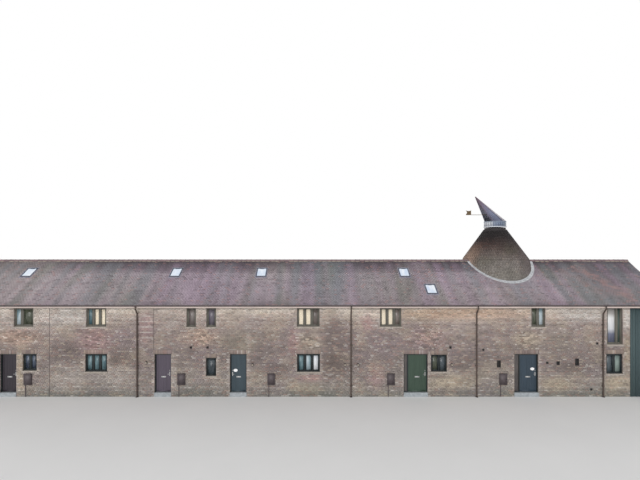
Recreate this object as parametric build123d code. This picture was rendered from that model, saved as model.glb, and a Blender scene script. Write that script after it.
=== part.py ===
from build123d import *
from math import cos, radians, sin, tan
from typing import NamedTuple
import os

# A brick range of five joined houses under one tiled roof, with the conical roof and
# turning cowl of an old hop kiln rising through it. Millimetres, +X to the right along
# the front, -Y towards the viewer of the front, +Z up. The origin is on the ground at
# the middle of the range, where the part rests.

# Range
DEPTH = 6200
WALL = 330
ROOM_FLOOR = 200
UPPER_FLOOR = 2850
UPPER_FLOOR_THICK = 250
WALL_TOP = 5086

# Main roof: two equal slopes
PITCH = 35
ROOF_THICK = 150
EAVES_REACH = 200
VERGE_REACH = 40
RIDGE_TILE_RADIUS = 130
RIDGE_TILE_THICK = 16
RIDGE_TILE_DROP = 60

# Fascia, gutter and downpipes
FASCIA_THICK = 20
FASCIA_DEPTH = 175
GUTTER_RADIUS = 58
GUTTER_THICK = 5
GUTTER_BELOW_EAVES = 25
GUTTER_LIP = 16
PIPE_RADIUS = 38
PIPE_STAND_OFF = 30
PIPE_BEND_RADIUS = 75
PIPE_FOOT = 25
PIPE_CLIP_WIDTH = 140
PIPE_CLIP_DEPTH = 35
PIPE_CLIPS = 4

# Doors
DOOR_HEAD_BELOW_FLOOR = 240
DOOR_SETBACK = 90
THRESHOLD_RISE = 20
THRESHOLD_REACH = 30
DOOR_FRAME_FACE = 45
DOOR_FRAME_DEPTH = 95
LEAF_THICK = 54
LEAF_GAP = 6
DOOR_STOP = 14
BOARD_GROOVE = 8
BOARD_PITCH = 140
LEAF_RAIL = 110
HINGE_RADIUS = 8
HINGE_FLAP = 34
HINGE_FLAP_THICK = 4
HINGE_HALF = 50
HINGE_PLACES = (250, 1050, 1850)
HINGE_PLAY = 0.3
LETTER_HEIGHT = 1060
LETTER_SIZE = (260, 8, 75)
HANDLE_HEIGHT = 1220
HANDLE_INSET = 75
HANDLE_PLATE = (42, 6, 220)
HANDLE_REACH = 52
HANDLE_NECK = 8
HANDLE_BAR = 11
HANDLE_TAIL = 18
HANDLE_LENGTH = 120
SIDE_GLASS_THICK = 16

# Windows
WINDOW_SETBACK = 75
WINDOW_FRAME_DEPTH = 70
WINDOW_FRAME_FACE = 55
WINDOW_MULLION = 50
WINDOW_GLASS_THICK = 16
WINDOW_GLASS_SETBACK = 22
BLIND_THICK = 4
BLIND_BEHIND_GLASS = 12
BLIND_SIDE_GAP = 4
SILL_THICK = 50
SILL_NOSE = 45
SILL_HORN = 45
LOWER_DROP = 230
UPPER_DROP = 146

# Rooflights
ROOFLIGHT_WIDTH = 620
ROOFLIGHT_LENGTH = 820
ROOFLIGHT_FRAME = 55
ROOFLIGHT_PROUD = 35
ROOFLIGHT_GLASS_THICK = 18
ROOFLIGHT_GLASS_DROP = 10
HIGH_ROOFLIGHT_DOWN = 1220
LOW_ROOFLIGHT_DOWN = 2740

# Kiln roof, in the last house
KILN_FROM_PARTY_LINE = 2710
KILN_Y = 500
KILN_BAY = 5200
DRUM_TOP_RADIUS = 1910
DRUM_SPLAY = 0.18
DRUM_THICK = 150
DRUM_ABOVE_RIDGE = 90
CONE_OVERHANG = 40
CONE_HEIGHT = 1870
CONE_TOP_RADIUS = 680
CONE_THICK = 175
FLASHING_WIDTH = 110
FLASHING_UPSTAND = 70
FLASHING_THICK = 8

# Cowl curb, bearings and spindle
CURB_INSET = 40
CURB_THICK = 80
CURB_HEIGHT = 120
BEARING_BAR = 70
BEARING_RADIUS = 60
BEARING_PLAY = 1.5
FOOT_BEAM_DROP = 700
FOOT_BEAM_SIZE = 110
FOOT_PLAY = 0.3
SPINDLE_RADIUS = 26

# Cowl
COWL_RUNNING_GAP = 50
COWL_OVER_CURB = 20
COWL_THICK = 28
COWL_RING_HEIGHT = 380
COWL_BEAD_PROUD = 25
COWL_BEAD_HEIGHT = 55
COWL_TIP_HEIGHT = 2000
COWL_TIP_LEAN = 1330
COWL_TIP_RADIUS = 32
COWL_TIP_DROP = 2
COWL_TIP_INSET = 0.9
COWL_MOUTH_INSET = 190
COWL_BAR = 60
COWL_BAR_ABOVE_FOOT = 90
VANE_ARM_ABOVE_RING = 430
VANE_ARM_RADIUS = 15
VANE_REACH = 1720
VANE_LENGTH = 340
VANE_HEIGHT = 300
VANE_WAIST = 0.82
VANE_THICK = 12

# Things fixed to the front
METER_BOX_SIZE = (420, 70, 610)
METER_BOX_FOOT = 670
SERVICE_PIPE_RADIUS = 20
SERVICE_PIPE_INSET = 70
LAMP_SIZE = (110, 95, 190)
VENT_PROUD = 14
SQUARE_VENT = (120, 120)
TALL_VENT = (205, 380)
MEDIUM_VENT = (170, 200)
ROUND_VENT_RADIUS = 65
BOARDED_END_WIDTH = 2320
BOARDING_THICK = 25


class Door(NamedTuple):
    """A front doorway; side is the width of the fixed light left of its leaf."""

    x: float
    width: float
    side: float
    hinge: int


class Window(NamedTuple):
    """A window: sill is above its floor, drop is below its ceiling or wall top."""

    x: float
    width: float
    sill: float
    drop: float
    lights: tuple
    blinds: tuple = ()
    storey: int = 0


class House(NamedTuple):
    """A house of the range; every x is from its left party line, and vents hold x, z and size."""

    width: float
    door: Door
    lower: tuple
    upper: tuple
    meter_box: float
    high_rooflights: tuple = ()
    low_rooflights: tuple = ()
    pipes: tuple = ()
    lamps: tuple = ()
    vents: tuple = ()


LEFT, RIGHT = -1, 1
GROUND, UPSTAIRS = 0, 1
ONE, TWO, THREE = (1,), (0.5, 0.5), (1 / 3, 1 / 3, 1 / 3)

HOUSES = (
    House(
        width=10130,
        door=Door(x=2940, width=930, side=0, hinge=LEFT),
        lower=(
            Window(x=4140, width=790, sill=1230, drop=LOWER_DROP, lights=TWO),
            Window(x=7830, width=1230, sill=1170, drop=LOWER_DROP, lights=THREE),
        ),
        upper=(
            Window(x=3800, width=1100, sill=1030, drop=UPPER_DROP, lights=(0.36, 0.64)),
            Window(x=7830, width=1130, sill=1030, drop=UPPER_DROP, lights=THREE, blinds=(1, 2)),
        ),
        meter_box=4060,
        high_rooflights=(2540,),
    ),
    House(
        width=3535,
        door=Door(x=1400, width=930, side=0, hinge=LEFT),
        lower=(),
        upper=(Window(x=2980, width=540, sill=1010, drop=UPPER_DROP, lights=ONE),),
        meter_box=2440,
        high_rooflights=(1370,),
        pipes=(0,),
        lamps=((500, 1900),),
        vents=((2970, 2730, SQUARE_VENT),),
    ),
    House(
        width=8315,
        door=Door(x=2055, width=930, side=0, hinge=RIGHT),
        lower=(
            Window(x=545, width=580, sill=930, drop=450, lights=ONE),
            Window(x=5955, width=1280, sill=1160, drop=LOWER_DROP, lights=THREE, blinds=(2,)),
        ),
        upper=(
            Window(x=555, width=550, sill=1010, drop=UPPER_DROP, lights=ONE),
            Window(x=5945, width=1260, sill=1030, drop=UPPER_DROP, lights=THREE, blinds=(0, 1)),
        ),
        meter_box=3895,
        high_rooflights=(3045,),
        lamps=((2855, 1790), (7985, 1790)),
        vents=((355, 2730, SQUARE_VENT),),
    ),
    House(
        width=6960,
        door=Door(x=3600, width=1340, side=160, hinge=LEFT),
        lower=(Window(x=4890, width=900, sill=1170, drop=270, lights=TWO),),
        upper=(Window(x=2210, width=1200, sill=1030, drop=UPPER_DROP, lights=THREE, blinds=(0, 1)),),
        meter_box=2210,
        high_rooflights=(3420,),
        low_rooflights=(4700,),
        pipes=(0,),
        lamps=((400, 1790), (5590, 1790)),
        vents=((5520, 2730, SQUARE_VENT),),
    ),
    House(
        width=10860,
        door=Door(x=2780, width=1350, side=250, hinge=LEFT),
        lower=(Window(x=7680, width=930, sill=1060, drop=LOWER_DROP, lights=TWO),),
        upper=(
            Window(x=3450, width=790, sill=1020, drop=86, lights=TWO),
            Window(x=7700, width=890, sill=40, drop=56, lights=(0.68, 0.32), blinds=(0,)),
        ),
        meter_box=1480,
        pipes=(0, 7010),
        vents=(
            (390, 2600, ROUND_VENT_RADIUS),
            (1250, 1820, TALL_VENT),
            (3940, 1880, SQUARE_VENT),
            (4540, 1860, MEDIUM_VENT),
            (5590, 1920, TALL_VENT),
            (6380, 400, SQUARE_VENT),
            (6710, 2950, SQUARE_VENT),
        ),
    ),
)

REAR_WINDOW_WIDTH = 1200
REAR_LOWER_SILL = 1170
REAR_UPPER_SILL = 1030

# Values that follow from the sizes above
FRONT = -DEPTH / 2
INNER_FRONT = FRONT + WALL
INNER_REAR = DEPTH / 2 - WALL
LENGTH = sum(house.width for house in HOUSES)
ENDS = (-LENGTH / 2, LENGTH / 2)
INNER_ENDS = (ENDS[0] + WALL, ENDS[1] - WALL)
ROOF_ENDS = (ENDS[0] - VERGE_REACH, ENDS[1] + VERGE_REACH)
PARTY_LINES = [ENDS[0] + sum(house.width for house in HOUSES[:number]) for number in range(len(HOUSES))]
RISE = tan(radians(PITCH))
ROOF_PLUMB = ROOF_THICK / cos(radians(PITCH))
RIDGE_HEIGHT = WALL_TOP + ROOF_PLUMB - FRONT * RISE
EAVES_Y = DEPTH / 2 + EAVES_REACH
GUTTER_Y = EAVES_Y + FASCIA_THICK + GUTTER_RADIUS
DOOR_FRAME_BACK = FRONT + DOOR_SETBACK + DOOR_FRAME_DEPTH
DOOR_HEAD = UPPER_FLOOR - UPPER_FLOOR_THICK - DOOR_HEAD_BELOW_FLOOR
THRESHOLD_TOP = ROOM_FLOOR + THRESHOLD_RISE
LEAF_FOOT = THRESHOLD_TOP + LEAF_GAP
FRAME_BACK = FRONT + WINDOW_SETBACK + WINDOW_FRAME_DEPTH
STOREYS = ((ROOM_FLOOR, UPPER_FLOOR - UPPER_FLOOR_THICK), (UPPER_FLOOR, WALL_TOP))
LEAF_TOP = DOOR_HEAD - DOOR_FRAME_FACE - LEAF_GAP
KILN_X = PARTY_LINES[-1] + KILN_FROM_PARTY_LINE
CONE_FOOT = RIDGE_HEIGHT + DRUM_ABOVE_RIDGE
CONE_TOP = CONE_FOOT + CONE_HEIGHT
CONE_FOOT_RADIUS = DRUM_TOP_RADIUS + CONE_OVERHANG
FOOT_BEAM_TOP = CONE_TOP - FOOT_BEAM_DROP
CURB_RADIUS = CONE_TOP_RADIUS - CURB_INSET
COWL_RADIUS = CURB_RADIUS + COWL_OVER_CURB
COWL_FOOT = CONE_TOP + CURB_HEIGHT + COWL_RUNNING_GAP
COWL_RING_TOP = COWL_FOOT + COWL_RING_HEIGHT
COWL_TIP = COWL_FOOT + COWL_TIP_HEIGHT
KILN_AXIS = Pos(KILN_X, KILN_Y, 0)


def spread(field):
    """Every item of one field of the houses, with the party line that its x is measured from."""
    return [(line, item) for line, house in zip(PARTY_LINES, HOUSES) for item in getattr(house, field)]


def along(field):
    """Places along the range of a field that holds bare x values."""
    return [line + x for line, x in spread(field)]


def doors():
    """Front doorways with x measured along the whole range."""
    return [house.door._replace(x=line + house.door.x) for line, house in zip(PARTY_LINES, HOUSES)]


def front_windows(storey):
    """Windows of one storey of the front with x measured along the whole range."""
    field = ("lower", "upper")[storey]
    return [window._replace(x=line + window.x, storey=storey) for line, window in spread(field)]


def roof_top(y):
    """Height of the tiled surface above a place across the range."""
    return RIDGE_HEIGHT - abs(y) * RISE


def roof_underside(y):
    """Height of the underside of the roof above a place across the range."""
    return roof_top(y) - ROOF_PLUMB


def block(x_limits, y_limits, z_limits):
    """Box between two limits on each axis."""
    low, high = zip(x_limits, y_limits, z_limits)
    size = [b - a for a, b in zip(low, high)]
    return Pos(*low) * Box(*size, align=(Align.MIN, Align.MIN, Align.MIN))


def centred(x, width):
    """Limits of a width centred on x."""
    return (x - width / 2, x + width / 2)


def prism(outline, x_limits):
    """Solid with a constant outline across the range, between two places along it."""
    start, end = x_limits
    edge = Polyline(*[(start, y, z) for y, z in outline], close=True)
    return extrude(make_face(edge), amount=end - start, dir=(1, 0, 0))


def mirrored(solid):
    """The same solid on the other side of the ridge."""
    return mirror(solid, about=Plane.XZ)


def loose(solids):
    """Several separate solids kept as one compound."""
    return Compound(children=list(solids))


# Walls
def window_heights(window):
    """Sill and head of a window."""
    floor, ceiling = STOREYS[window.storey]
    return (floor + window.sill, ceiling - window.drop)


def wall_strip(x_limits, foot):
    """Length of front wall from a given height up to the sloping roof."""
    outline = (
        (FRONT, foot),
        (INNER_FRONT, foot),
        (INNER_FRONT, roof_underside(INNER_FRONT)),
        (FRONT, roof_underside(FRONT)),
    )
    return prism(outline, x_limits)


def window_hole(window):
    """Solid that cuts one window and the seat of its sill into the front wall."""
    sill, head = window_heights(window)
    hole = block(centred(window.x, window.width), (FRONT - 1, INNER_FRONT + 1), (sill, head))
    return hole + block(centred(window.x, window.width), (FRONT - 1, FRAME_BACK), (sill - SILL_THICK, sill))


def window_sill(window):
    """Sill under a window frame, with a nose that runs on past both sides of the opening."""
    sill, _ = window_heights(window)
    z_limits = (sill - SILL_THICK, sill)
    seat = block(centred(window.x, window.width), (FRONT, FRAME_BACK), z_limits)
    return seat + block(centred(window.x, window.width + 2 * SILL_HORN), (FRONT - SILL_NOSE, FRONT), z_limits)


def front_walls():
    """Lengths of front wall between the doorways, with their windows cut through."""
    stops = [ENDS[0]]
    for door in doors():
        stops += centred(door.x, door.width)
    stops.append(ENDS[1])
    walls = []
    for start, end in zip(stops[0::2], stops[1::2]):
        wall = wall_strip((start, end), 0)
        for window in front_windows(GROUND) + front_windows(UPSTAIRS):
            if start - window.width / 2 < window.x < end + window.width / 2:
                wall -= window_hole(window)
        walls.append(wall)
    return walls


def walls_over_doors():
    """Brickwork over each doorway, with any upper window that stands above it."""
    strips = []
    for door in doors():
        limits = centred(door.x, door.width)
        strip = wall_strip(limits, DOOR_HEAD)
        for window in front_windows(UPSTAIRS):
            strip -= window_hole(window)
        strips.append(strip)
    return loose(strips)


def rear_windows():
    """Plain windows that repeat both storeys at the middle of each house."""
    windows = []
    for line, house in zip(PARTY_LINES, HOUSES):
        x = line + house.width / 2
        windows.append(Window(x, REAR_WINDOW_WIDTH, REAR_LOWER_SILL, LOWER_DROP, THREE, storey=GROUND))
        windows.append(Window(x, REAR_WINDOW_WIDTH, REAR_UPPER_SILL, UPPER_DROP, THREE, storey=UPSTAIRS))
    return windows


def rear_wall():
    """Whole rear wall with its windows cut through."""
    wall = wall_strip(ENDS, 0)
    for window in rear_windows():
        wall -= window_hole(window)
    return mirrored(wall)


def party_wall(x_limits):
    """Plain gable wall between the front and rear walls."""
    outline = (
        (INNER_FRONT, 0),
        (INNER_REAR, 0),
        (INNER_REAR, roof_underside(INNER_REAR)),
        (0, roof_underside(0)),
        (INNER_FRONT, roof_underside(INNER_FRONT)),
    )
    return prism(outline, x_limits)


def end_boarding():
    """Dark boards over the right end of the front."""
    x_limits = (ENDS[1] - BOARDED_END_WIDTH, ENDS[1])
    y_limits = (FRONT - BOARDING_THICK, FRONT)
    return block(x_limits, y_limits, (0, roof_underside(FRONT - BOARDING_THICK)))


def floor_slab(z_limits):
    """Floor that fills the range between its four walls."""
    return block(INNER_ENDS, (INNER_FRONT, INNER_REAR), z_limits)


# Roof
def front_slope(x_limits):
    """Front slope of the roof as one slab, square cut at ridge and eaves."""
    outline = (
        (0, roof_top(0)),
        (0, roof_underside(0)),
        (-EAVES_Y, roof_underside(EAVES_Y)),
        (-EAVES_Y, roof_top(EAVES_Y)),
    )
    return prism(outline, x_limits)


def on_front_slope(x, down):
    """Plane on the front slope, some way down from the ridge, with +Z out of the roof."""
    pitch = radians(PITCH)
    origin = (x, -down * cos(pitch), RIDGE_HEIGHT - down * sin(pitch))
    return Plane(origin=origin, x_dir=(1, 0, 0), z_dir=(0, -sin(pitch), cos(pitch)))


def rooflight_planes():
    """Planes on the front slope that the rooflights are built on, the high ones first."""
    places = [(x, HIGH_ROOFLIGHT_DOWN) for x in along("high_rooflights")]
    places += [(x, LOW_ROOFLIGHT_DOWN) for x in along("low_rooflights")]
    return [on_front_slope(x, down) for x, down in places]


def rooflight_hole(plane):
    """Solid that cuts one rooflight through the slope."""
    return plane * Box(ROOFLIGHT_WIDTH, ROOFLIGHT_LENGTH, 3 * ROOF_THICK)


def rooflight_frame(plane):
    """Curb lining the hole and standing a little proud of the tiles."""
    depth = ROOF_THICK + ROOFLIGHT_PROUD
    middle = ROOFLIGHT_PROUD - depth / 2
    curb = Pos(0, 0, middle) * Box(ROOFLIGHT_WIDTH, ROOFLIGHT_LENGTH, depth)
    clear = Box(ROOFLIGHT_WIDTH - 2 * ROOFLIGHT_FRAME, ROOFLIGHT_LENGTH - 2 * ROOFLIGHT_FRAME, 4 * depth)
    return plane * (curb - clear)


def rooflight_pane(plane):
    """Glass set just below the top of the curb."""
    middle = ROOFLIGHT_PROUD - ROOFLIGHT_GLASS_DROP - ROOFLIGHT_GLASS_THICK / 2
    width = ROOFLIGHT_WIDTH - 2 * ROOFLIGHT_FRAME
    length = ROOFLIGHT_LENGTH - 2 * ROOFLIGHT_FRAME
    return plane * Pos(0, 0, middle) * Box(width, length, ROOFLIGHT_GLASS_THICK)


def kiln_hole():
    """Round hole that the kiln makes through both slopes."""
    return KILN_AXIS * Pos(0, 0, CONE_TOP / 2) * Cylinder(DRUM_TOP_RADIUS - DRUM_THICK, CONE_TOP)


def roof_pieces():
    """Both slopes, each in three lengths with the kiln in the middle one."""
    bay = centred(KILN_X, KILN_BAY)
    left = front_slope((ROOF_ENDS[0], bay[0]))
    for plane in rooflight_planes():
        left -= rooflight_hole(plane)
    right = front_slope((bay[1], ROOF_ENDS[1]))
    return {
        "roof_front_left": left,
        "roof_front_kiln": front_slope(bay) - kiln_hole(),
        "roof_front_right": right,
        "roof_rear_left": mirrored(front_slope((ROOF_ENDS[0], bay[0]))),
        "roof_rear_kiln": mirrored(front_slope(bay)) - kiln_hole(),
        "roof_rear_right": mirrored(right),
    }


def under_tiles(x_limits, raised=0):
    """Everything below the tiled surface, or below a surface raised plumb above it."""
    reach = DEPTH
    outline = (
        (-reach, 0),
        (reach, 0),
        (reach, roof_top(reach) + raised),
        (0, roof_top(0) + raised),
        (-reach, roof_top(reach) + raised),
    )
    return prism(outline, x_limits)


def ridge_tiles():
    """Half round tiles along the ridge, stopped against the kiln flashing."""
    start, end = ROOF_ENDS
    turned = Plane(origin=(start, 0, RIDGE_HEIGHT - RIDGE_TILE_DROP), x_dir=(0, 1, 0), z_dir=(1, 0, 0))
    rings = Circle(RIDGE_TILE_RADIUS) - Circle(RIDGE_TILE_RADIUS - RIDGE_TILE_THICK)
    ridge = extrude(turned * rings, amount=end - start)
    return ridge - under_tiles(ROOF_ENDS) - drum_solid(-FLASHING_WIDTH)


def fascia():
    """Board along the cut ends of the front slope."""
    top = roof_top(EAVES_Y)
    return block(ROOF_ENDS, (-EAVES_Y - FASCIA_THICK, -EAVES_Y), (top - FASCIA_DEPTH, top))


def gutter():
    """Half round gutter with a lip against the front fascia and closed ends."""
    rim = roof_top(EAVES_Y) - GUTTER_BELOW_EAVES
    start, end = ROOF_ENDS
    axis = Plane(origin=(start, -GUTTER_Y, rim), x_dir=(0, 1, 0), z_dir=(1, 0, 0))
    lower_half = Pos(0, -GUTTER_RADIUS) * Rectangle(2 * GUTTER_RADIUS, 2 * GUTTER_RADIUS)
    bowl = Circle(GUTTER_RADIUS) & lower_half
    channel = bowl - Circle(GUTTER_RADIUS - GUTTER_THICK)
    trough = extrude(axis * channel, amount=end - start)
    near = extrude(axis * bowl, amount=GUTTER_THICK)
    far = Pos(end - start - GUTTER_THICK, 0, 0) * near
    back = -EAVES_Y - FASCIA_THICK
    lip = block(ROOF_ENDS, (back - GUTTER_THICK, back), (rim - GUTTER_LIP, rim))
    return trough + near + far + lip


def downpipe(x):
    """Pipe with a swan neck that turns in below the fascia, and its wall clips."""
    rim = roof_top(EAVES_Y) - GUTTER_BELOW_EAVES
    pipe_y = FRONT - PIPE_STAND_OFF - PIPE_RADIUS
    neck_top = roof_top(EAVES_Y) - FASCIA_DEPTH - PIPE_RADIUS
    neck_foot = neck_top - (GUTTER_Y + pipe_y) - PIPE_BEND_RADIUS
    route = FilletPolyline(
        (x, -GUTTER_Y, rim),
        (x, -GUTTER_Y, neck_top),
        (x, pipe_y, neck_foot),
        (x, pipe_y, PIPE_FOOT),
        radius=PIPE_BEND_RADIUS,
    )
    section = Plane(origin=route @ 0, z_dir=route % 0) * Circle(PIPE_RADIUS)
    pipe = sweep(section, path=route)
    pipe -= Pos(x, -GUTTER_Y, rim) * Rot(0, 90, 0) * Cylinder(GUTTER_RADIUS, 4 * PIPE_RADIUS)
    spacing = (neck_foot - PIPE_BEND_RADIUS - PIPE_FOOT) / PIPE_CLIPS
    for step in range(PIPE_CLIPS):
        foot = PIPE_FOOT + (step + 0.5) * spacing
        clip = block(centred(x, PIPE_CLIP_WIDTH), (pipe_y, FRONT), (foot, foot + PIPE_CLIP_DEPTH))
        pipe += clip
    return pipe


def both_sides(solids):
    """The given solids together with their mirror images behind the range."""
    solids = list(solids)
    return loose(solids + [mirrored(solid) for solid in solids])


# Windows
def light_limits(window):
    """Limits along the front of each light between the bars of a window."""
    bars = WINDOW_MULLION * (len(window.lights) - 1)
    clear = window.width - 2 * WINDOW_FRAME_FACE - bars
    start = window.x - window.width / 2 + WINDOW_FRAME_FACE
    limits = []
    for share in window.lights:
        limits.append((start, start + share * clear))
        start += share * clear + WINDOW_MULLION
    return limits


def light_heights(window):
    """Limits in height of the lights of a window."""
    sill, head = window_heights(window)
    return (sill + WINDOW_FRAME_FACE, head - WINDOW_FRAME_FACE)


def window_frame(window):
    """Frame and mullions of one window."""
    y_limits = (FRAME_BACK - WINDOW_FRAME_DEPTH, FRAME_BACK)
    frame = block(centred(window.x, window.width), y_limits, window_heights(window))
    for limits in light_limits(window):
        frame -= block(limits, y_limits, light_heights(window))
    return frame


def window_panes(window):
    """One sheet of glass in each light of a window."""
    face = FRONT + WINDOW_SETBACK + WINDOW_GLASS_SETBACK
    y_limits = (face, face + WINDOW_GLASS_THICK)
    return [block(limits, y_limits, light_heights(window)) for limits in light_limits(window)]


def window_blinds(window):
    """Blinds drawn down behind the glass, hung from the head of the frame."""
    face = FRONT + WINDOW_SETBACK + WINDOW_GLASS_SETBACK + WINDOW_GLASS_THICK + BLIND_BEHIND_GLASS
    foot, top = light_heights(window)
    blinds = []
    for number in window.blinds:
        start, end = light_limits(window)[number]
        x_limits = (start + BLIND_SIDE_GAP, end - BLIND_SIDE_GAP)
        blinds.append(block(x_limits, (face, face + BLIND_THICK), (foot + BLIND_SIDE_GAP, top)))
    return blinds


# Doors
def side_limits(door):
    """Limits along the front of the fixed light beside a leaf."""
    start = door.x - door.width / 2 + DOOR_FRAME_FACE
    return (start, start + door.side)


def leaf_space(door):
    """Limits along the front of the space that the frame leaves for the leaf."""
    start = door.x - door.width / 2 + DOOR_FRAME_FACE
    if door.side:
        start = side_limits(door)[1] + DOOR_FRAME_FACE
    return (start, door.x + door.width / 2 - DOOR_FRAME_FACE)


def leaf_limits(door):
    """Limits along the front of the leaf itself."""
    start, end = leaf_space(door)
    return (start + LEAF_GAP, end - LEAF_GAP)


def hinge_axis(door):
    """Place in plan of the pin line that a leaf turns about."""
    space = leaf_space(door)[0 if door.hinge == LEFT else 1]
    return (space - door.hinge * LEAF_GAP / 2, DOOR_FRAME_BACK + HINGE_RADIUS)


def door_frame(door):
    """Jambs and head, rebated for the leaf, with a mullion beside a fixed light."""
    front = DOOR_FRAME_BACK - DOOR_FRAME_DEPTH
    y_limits = (front, DOOR_FRAME_BACK)
    frame = block(centred(door.x, door.width), y_limits, (THRESHOLD_TOP, DOOR_HEAD))
    start, end = leaf_space(door)
    head = DOOR_HEAD - DOOR_FRAME_FACE
    stop_back = DOOR_FRAME_BACK - LEAF_THICK - LEAF_GAP
    frame -= block((start, end), (stop_back, DOOR_FRAME_BACK), (THRESHOLD_TOP, head))
    frame -= block((start + DOOR_STOP, end - DOOR_STOP), y_limits, (THRESHOLD_TOP, head - DOOR_STOP))
    if door.side:
        frame -= block(side_limits(door), y_limits, (THRESHOLD_TOP + DOOR_FRAME_FACE, head))
    return frame


def side_glass(door):
    """Fixed light beside a leaf."""
    middle = DOOR_FRAME_BACK - DOOR_FRAME_DEPTH / 2
    heights = (THRESHOLD_TOP + DOOR_FRAME_FACE, DOOR_HEAD - DOOR_FRAME_FACE)
    return block(side_limits(door), centred(middle, SIDE_GLASS_THICK), heights)


def threshold(door):
    """Stone that fills the foot of a doorway."""
    y_limits = (FRONT - THRESHOLD_REACH, INNER_FRONT)
    return block(centred(door.x, door.width), y_limits, (0, THRESHOLD_TOP))


def door_leaf(door):
    """Boarded leaf with grooves between its boards on the outer face."""
    x_limits = leaf_limits(door)
    face = DOOR_FRAME_BACK - LEAF_THICK
    leaf = block(x_limits, (face, DOOR_FRAME_BACK), (LEAF_FOOT, LEAF_TOP))
    boarded = x_limits[1] - x_limits[0] - 2 * LEAF_RAIL
    boards = round(boarded / BOARD_PITCH)
    for number in range(boards + 1):
        x = x_limits[0] + LEAF_RAIL + number * boarded / boards
        heights = (LEAF_FOOT + LEAF_RAIL, LEAF_TOP - LEAF_RAIL)
        leaf -= block(centred(x, BOARD_GROOVE), (face, face + BOARD_GROOVE), heights)
    return leaf


def lever(x, face, outward, towards_hinge):
    """Handle plate, neck and lever on one face of a leaf."""
    width, thick, height = HANDLE_PLATE
    plate = block(centred(x, width), sorted((face, face + outward * thick)), centred(HANDLE_HEIGHT, height))
    stand_off = HANDLE_REACH - HANDLE_BAR
    neck = Rot(90, 0, 0) * Cylinder(HANDLE_NECK, stand_off)
    neck = Pos(x, face + outward * stand_off / 2, HANDLE_HEIGHT) * neck
    middle = x + towards_hinge * (HANDLE_LENGTH / 2 - HANDLE_TAIL)
    bar = Pos(middle, face + outward * stand_off, HANDLE_HEIGHT) * Rot(0, 90, 0)
    return plate + neck + bar * Cylinder(HANDLE_BAR, HANDLE_LENGTH)


def letter_plate(door):
    """Letter plate across the outer face of a leaf."""
    width, thick, height = LETTER_SIZE
    start, end = leaf_limits(door)
    face = DOOR_FRAME_BACK - LEAF_THICK
    return block(centred((start + end) / 2, width), (face - thick, face), centred(LETTER_HEIGHT, height))


def hinge_half(door, foot, side):
    """Knuckle and flap of one half of a hinge; side is where its flap lies."""
    x, y = hinge_axis(door)
    knuckle = Pos(x, y, foot + HINGE_HALF / 2) * Cylinder(HINGE_RADIUS, HINGE_HALF)
    flap = (y - HINGE_RADIUS, y - HINGE_RADIUS + HINGE_FLAP_THICK)
    return knuckle + block(sorted((x, x + side * HINGE_FLAP)), flap, (foot, foot + HINGE_HALF))


def door_furniture(door):
    """Handles, letter plate and the hinge halves that turn with a leaf."""
    start, end = leaf_limits(door)
    x = end - HANDLE_INSET if door.hinge == LEFT else start + HANDLE_INSET
    outer = lever(x, DOOR_FRAME_BACK - LEAF_THICK, -1, door.hinge)
    inner = lever(x, DOOR_FRAME_BACK, 1, door.hinge)
    upper = HINGE_HALF + HINGE_PLAY
    hinges = [hinge_half(door, LEAF_FOOT + foot + upper, -door.hinge) for foot in HINGE_PLACES]
    return loose([outer, inner, letter_plate(door)] + hinges)


def frame_hinges():
    """Hinge halves fixed to the door frames, under those of the leaves."""
    halves = []
    for door in doors():
        halves += [hinge_half(door, LEAF_FOOT + foot, door.hinge) for foot in HINGE_PLACES]
    return loose(halves)


# Things fixed to the front
def meter_box(x):
    """Meter cupboard on the wall with its service pipe down to the ground."""
    width, depth, height = METER_BOX_SIZE
    box = block(centred(x, width), (FRONT - depth, FRONT), (METER_BOX_FOOT, METER_BOX_FOOT + height))
    pipe_x = x - width / 2 + SERVICE_PIPE_INSET
    place = Pos(pipe_x, FRONT - SERVICE_PIPE_RADIUS, METER_BOX_FOOT / 2)
    return box + place * Cylinder(SERVICE_PIPE_RADIUS, METER_BOX_FOOT)


def wall_lamp(x, z):
    """Small lantern on the wall."""
    width, depth, height = LAMP_SIZE
    return block(centred(x, width), (FRONT - depth, FRONT), centred(z, height))


def wall_vent(x, z, size):
    """Vent cover on the brickwork; size is width and height, or the radius of a round one."""
    if size == ROUND_VENT_RADIUS:
        disc = Rot(90, 0, 0) * Cylinder(ROUND_VENT_RADIUS, VENT_PROUD)
        return Pos(x, FRONT - VENT_PROUD / 2, z) * disc
    width, height = size
    return block(centred(x, width), (FRONT - VENT_PROUD, FRONT), centred(z, height))


# Kiln roof
def pipe_solid(outer, inner, foot, top):
    """Upright tube on the kiln axis."""
    middle = Pos(0, 0, (foot + top) / 2)
    return KILN_AXIS * middle * (Cylinder(outer, top - foot) - Cylinder(inner, top - foot))


def drum_solid(inset):
    """Solid inside the splayed drum, drawn in by a level distance."""
    foot = roof_top(EAVES_Y)
    height = CONE_FOOT - foot
    top_radius = DRUM_TOP_RADIUS - inset
    cone = Cone(top_radius + DRUM_SPLAY * height, top_radius, height)
    return KILN_AXIS * Pos(0, 0, foot + height / 2) * cone


def kiln_drum():
    """Splayed round wall that stands on the roof slopes and carries the cone."""
    tube = drum_solid(0) - drum_solid(DRUM_THICK)
    return tube - under_tiles(centred(KILN_X, KILN_BAY))


def cone_outline(inset):
    """Foot and top radius of the cone, drawn in by a level distance."""
    return CONE_FOOT_RADIUS - inset, CONE_TOP_RADIUS - inset


def cone_solid(inset, height):
    """Solid cone on the kiln axis from its foot."""
    foot_radius, top_radius = cone_outline(inset)
    return KILN_AXIS * Pos(0, 0, CONE_FOOT + height / 2) * Cone(foot_radius, top_radius, height)


def kiln_cone():
    """Conical kiln roof as a shell, open at its top under the cowl."""
    height = CONE_TOP - CONE_FOOT
    return cone_solid(0, height) - cone_solid(CONE_THICK, height)


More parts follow.
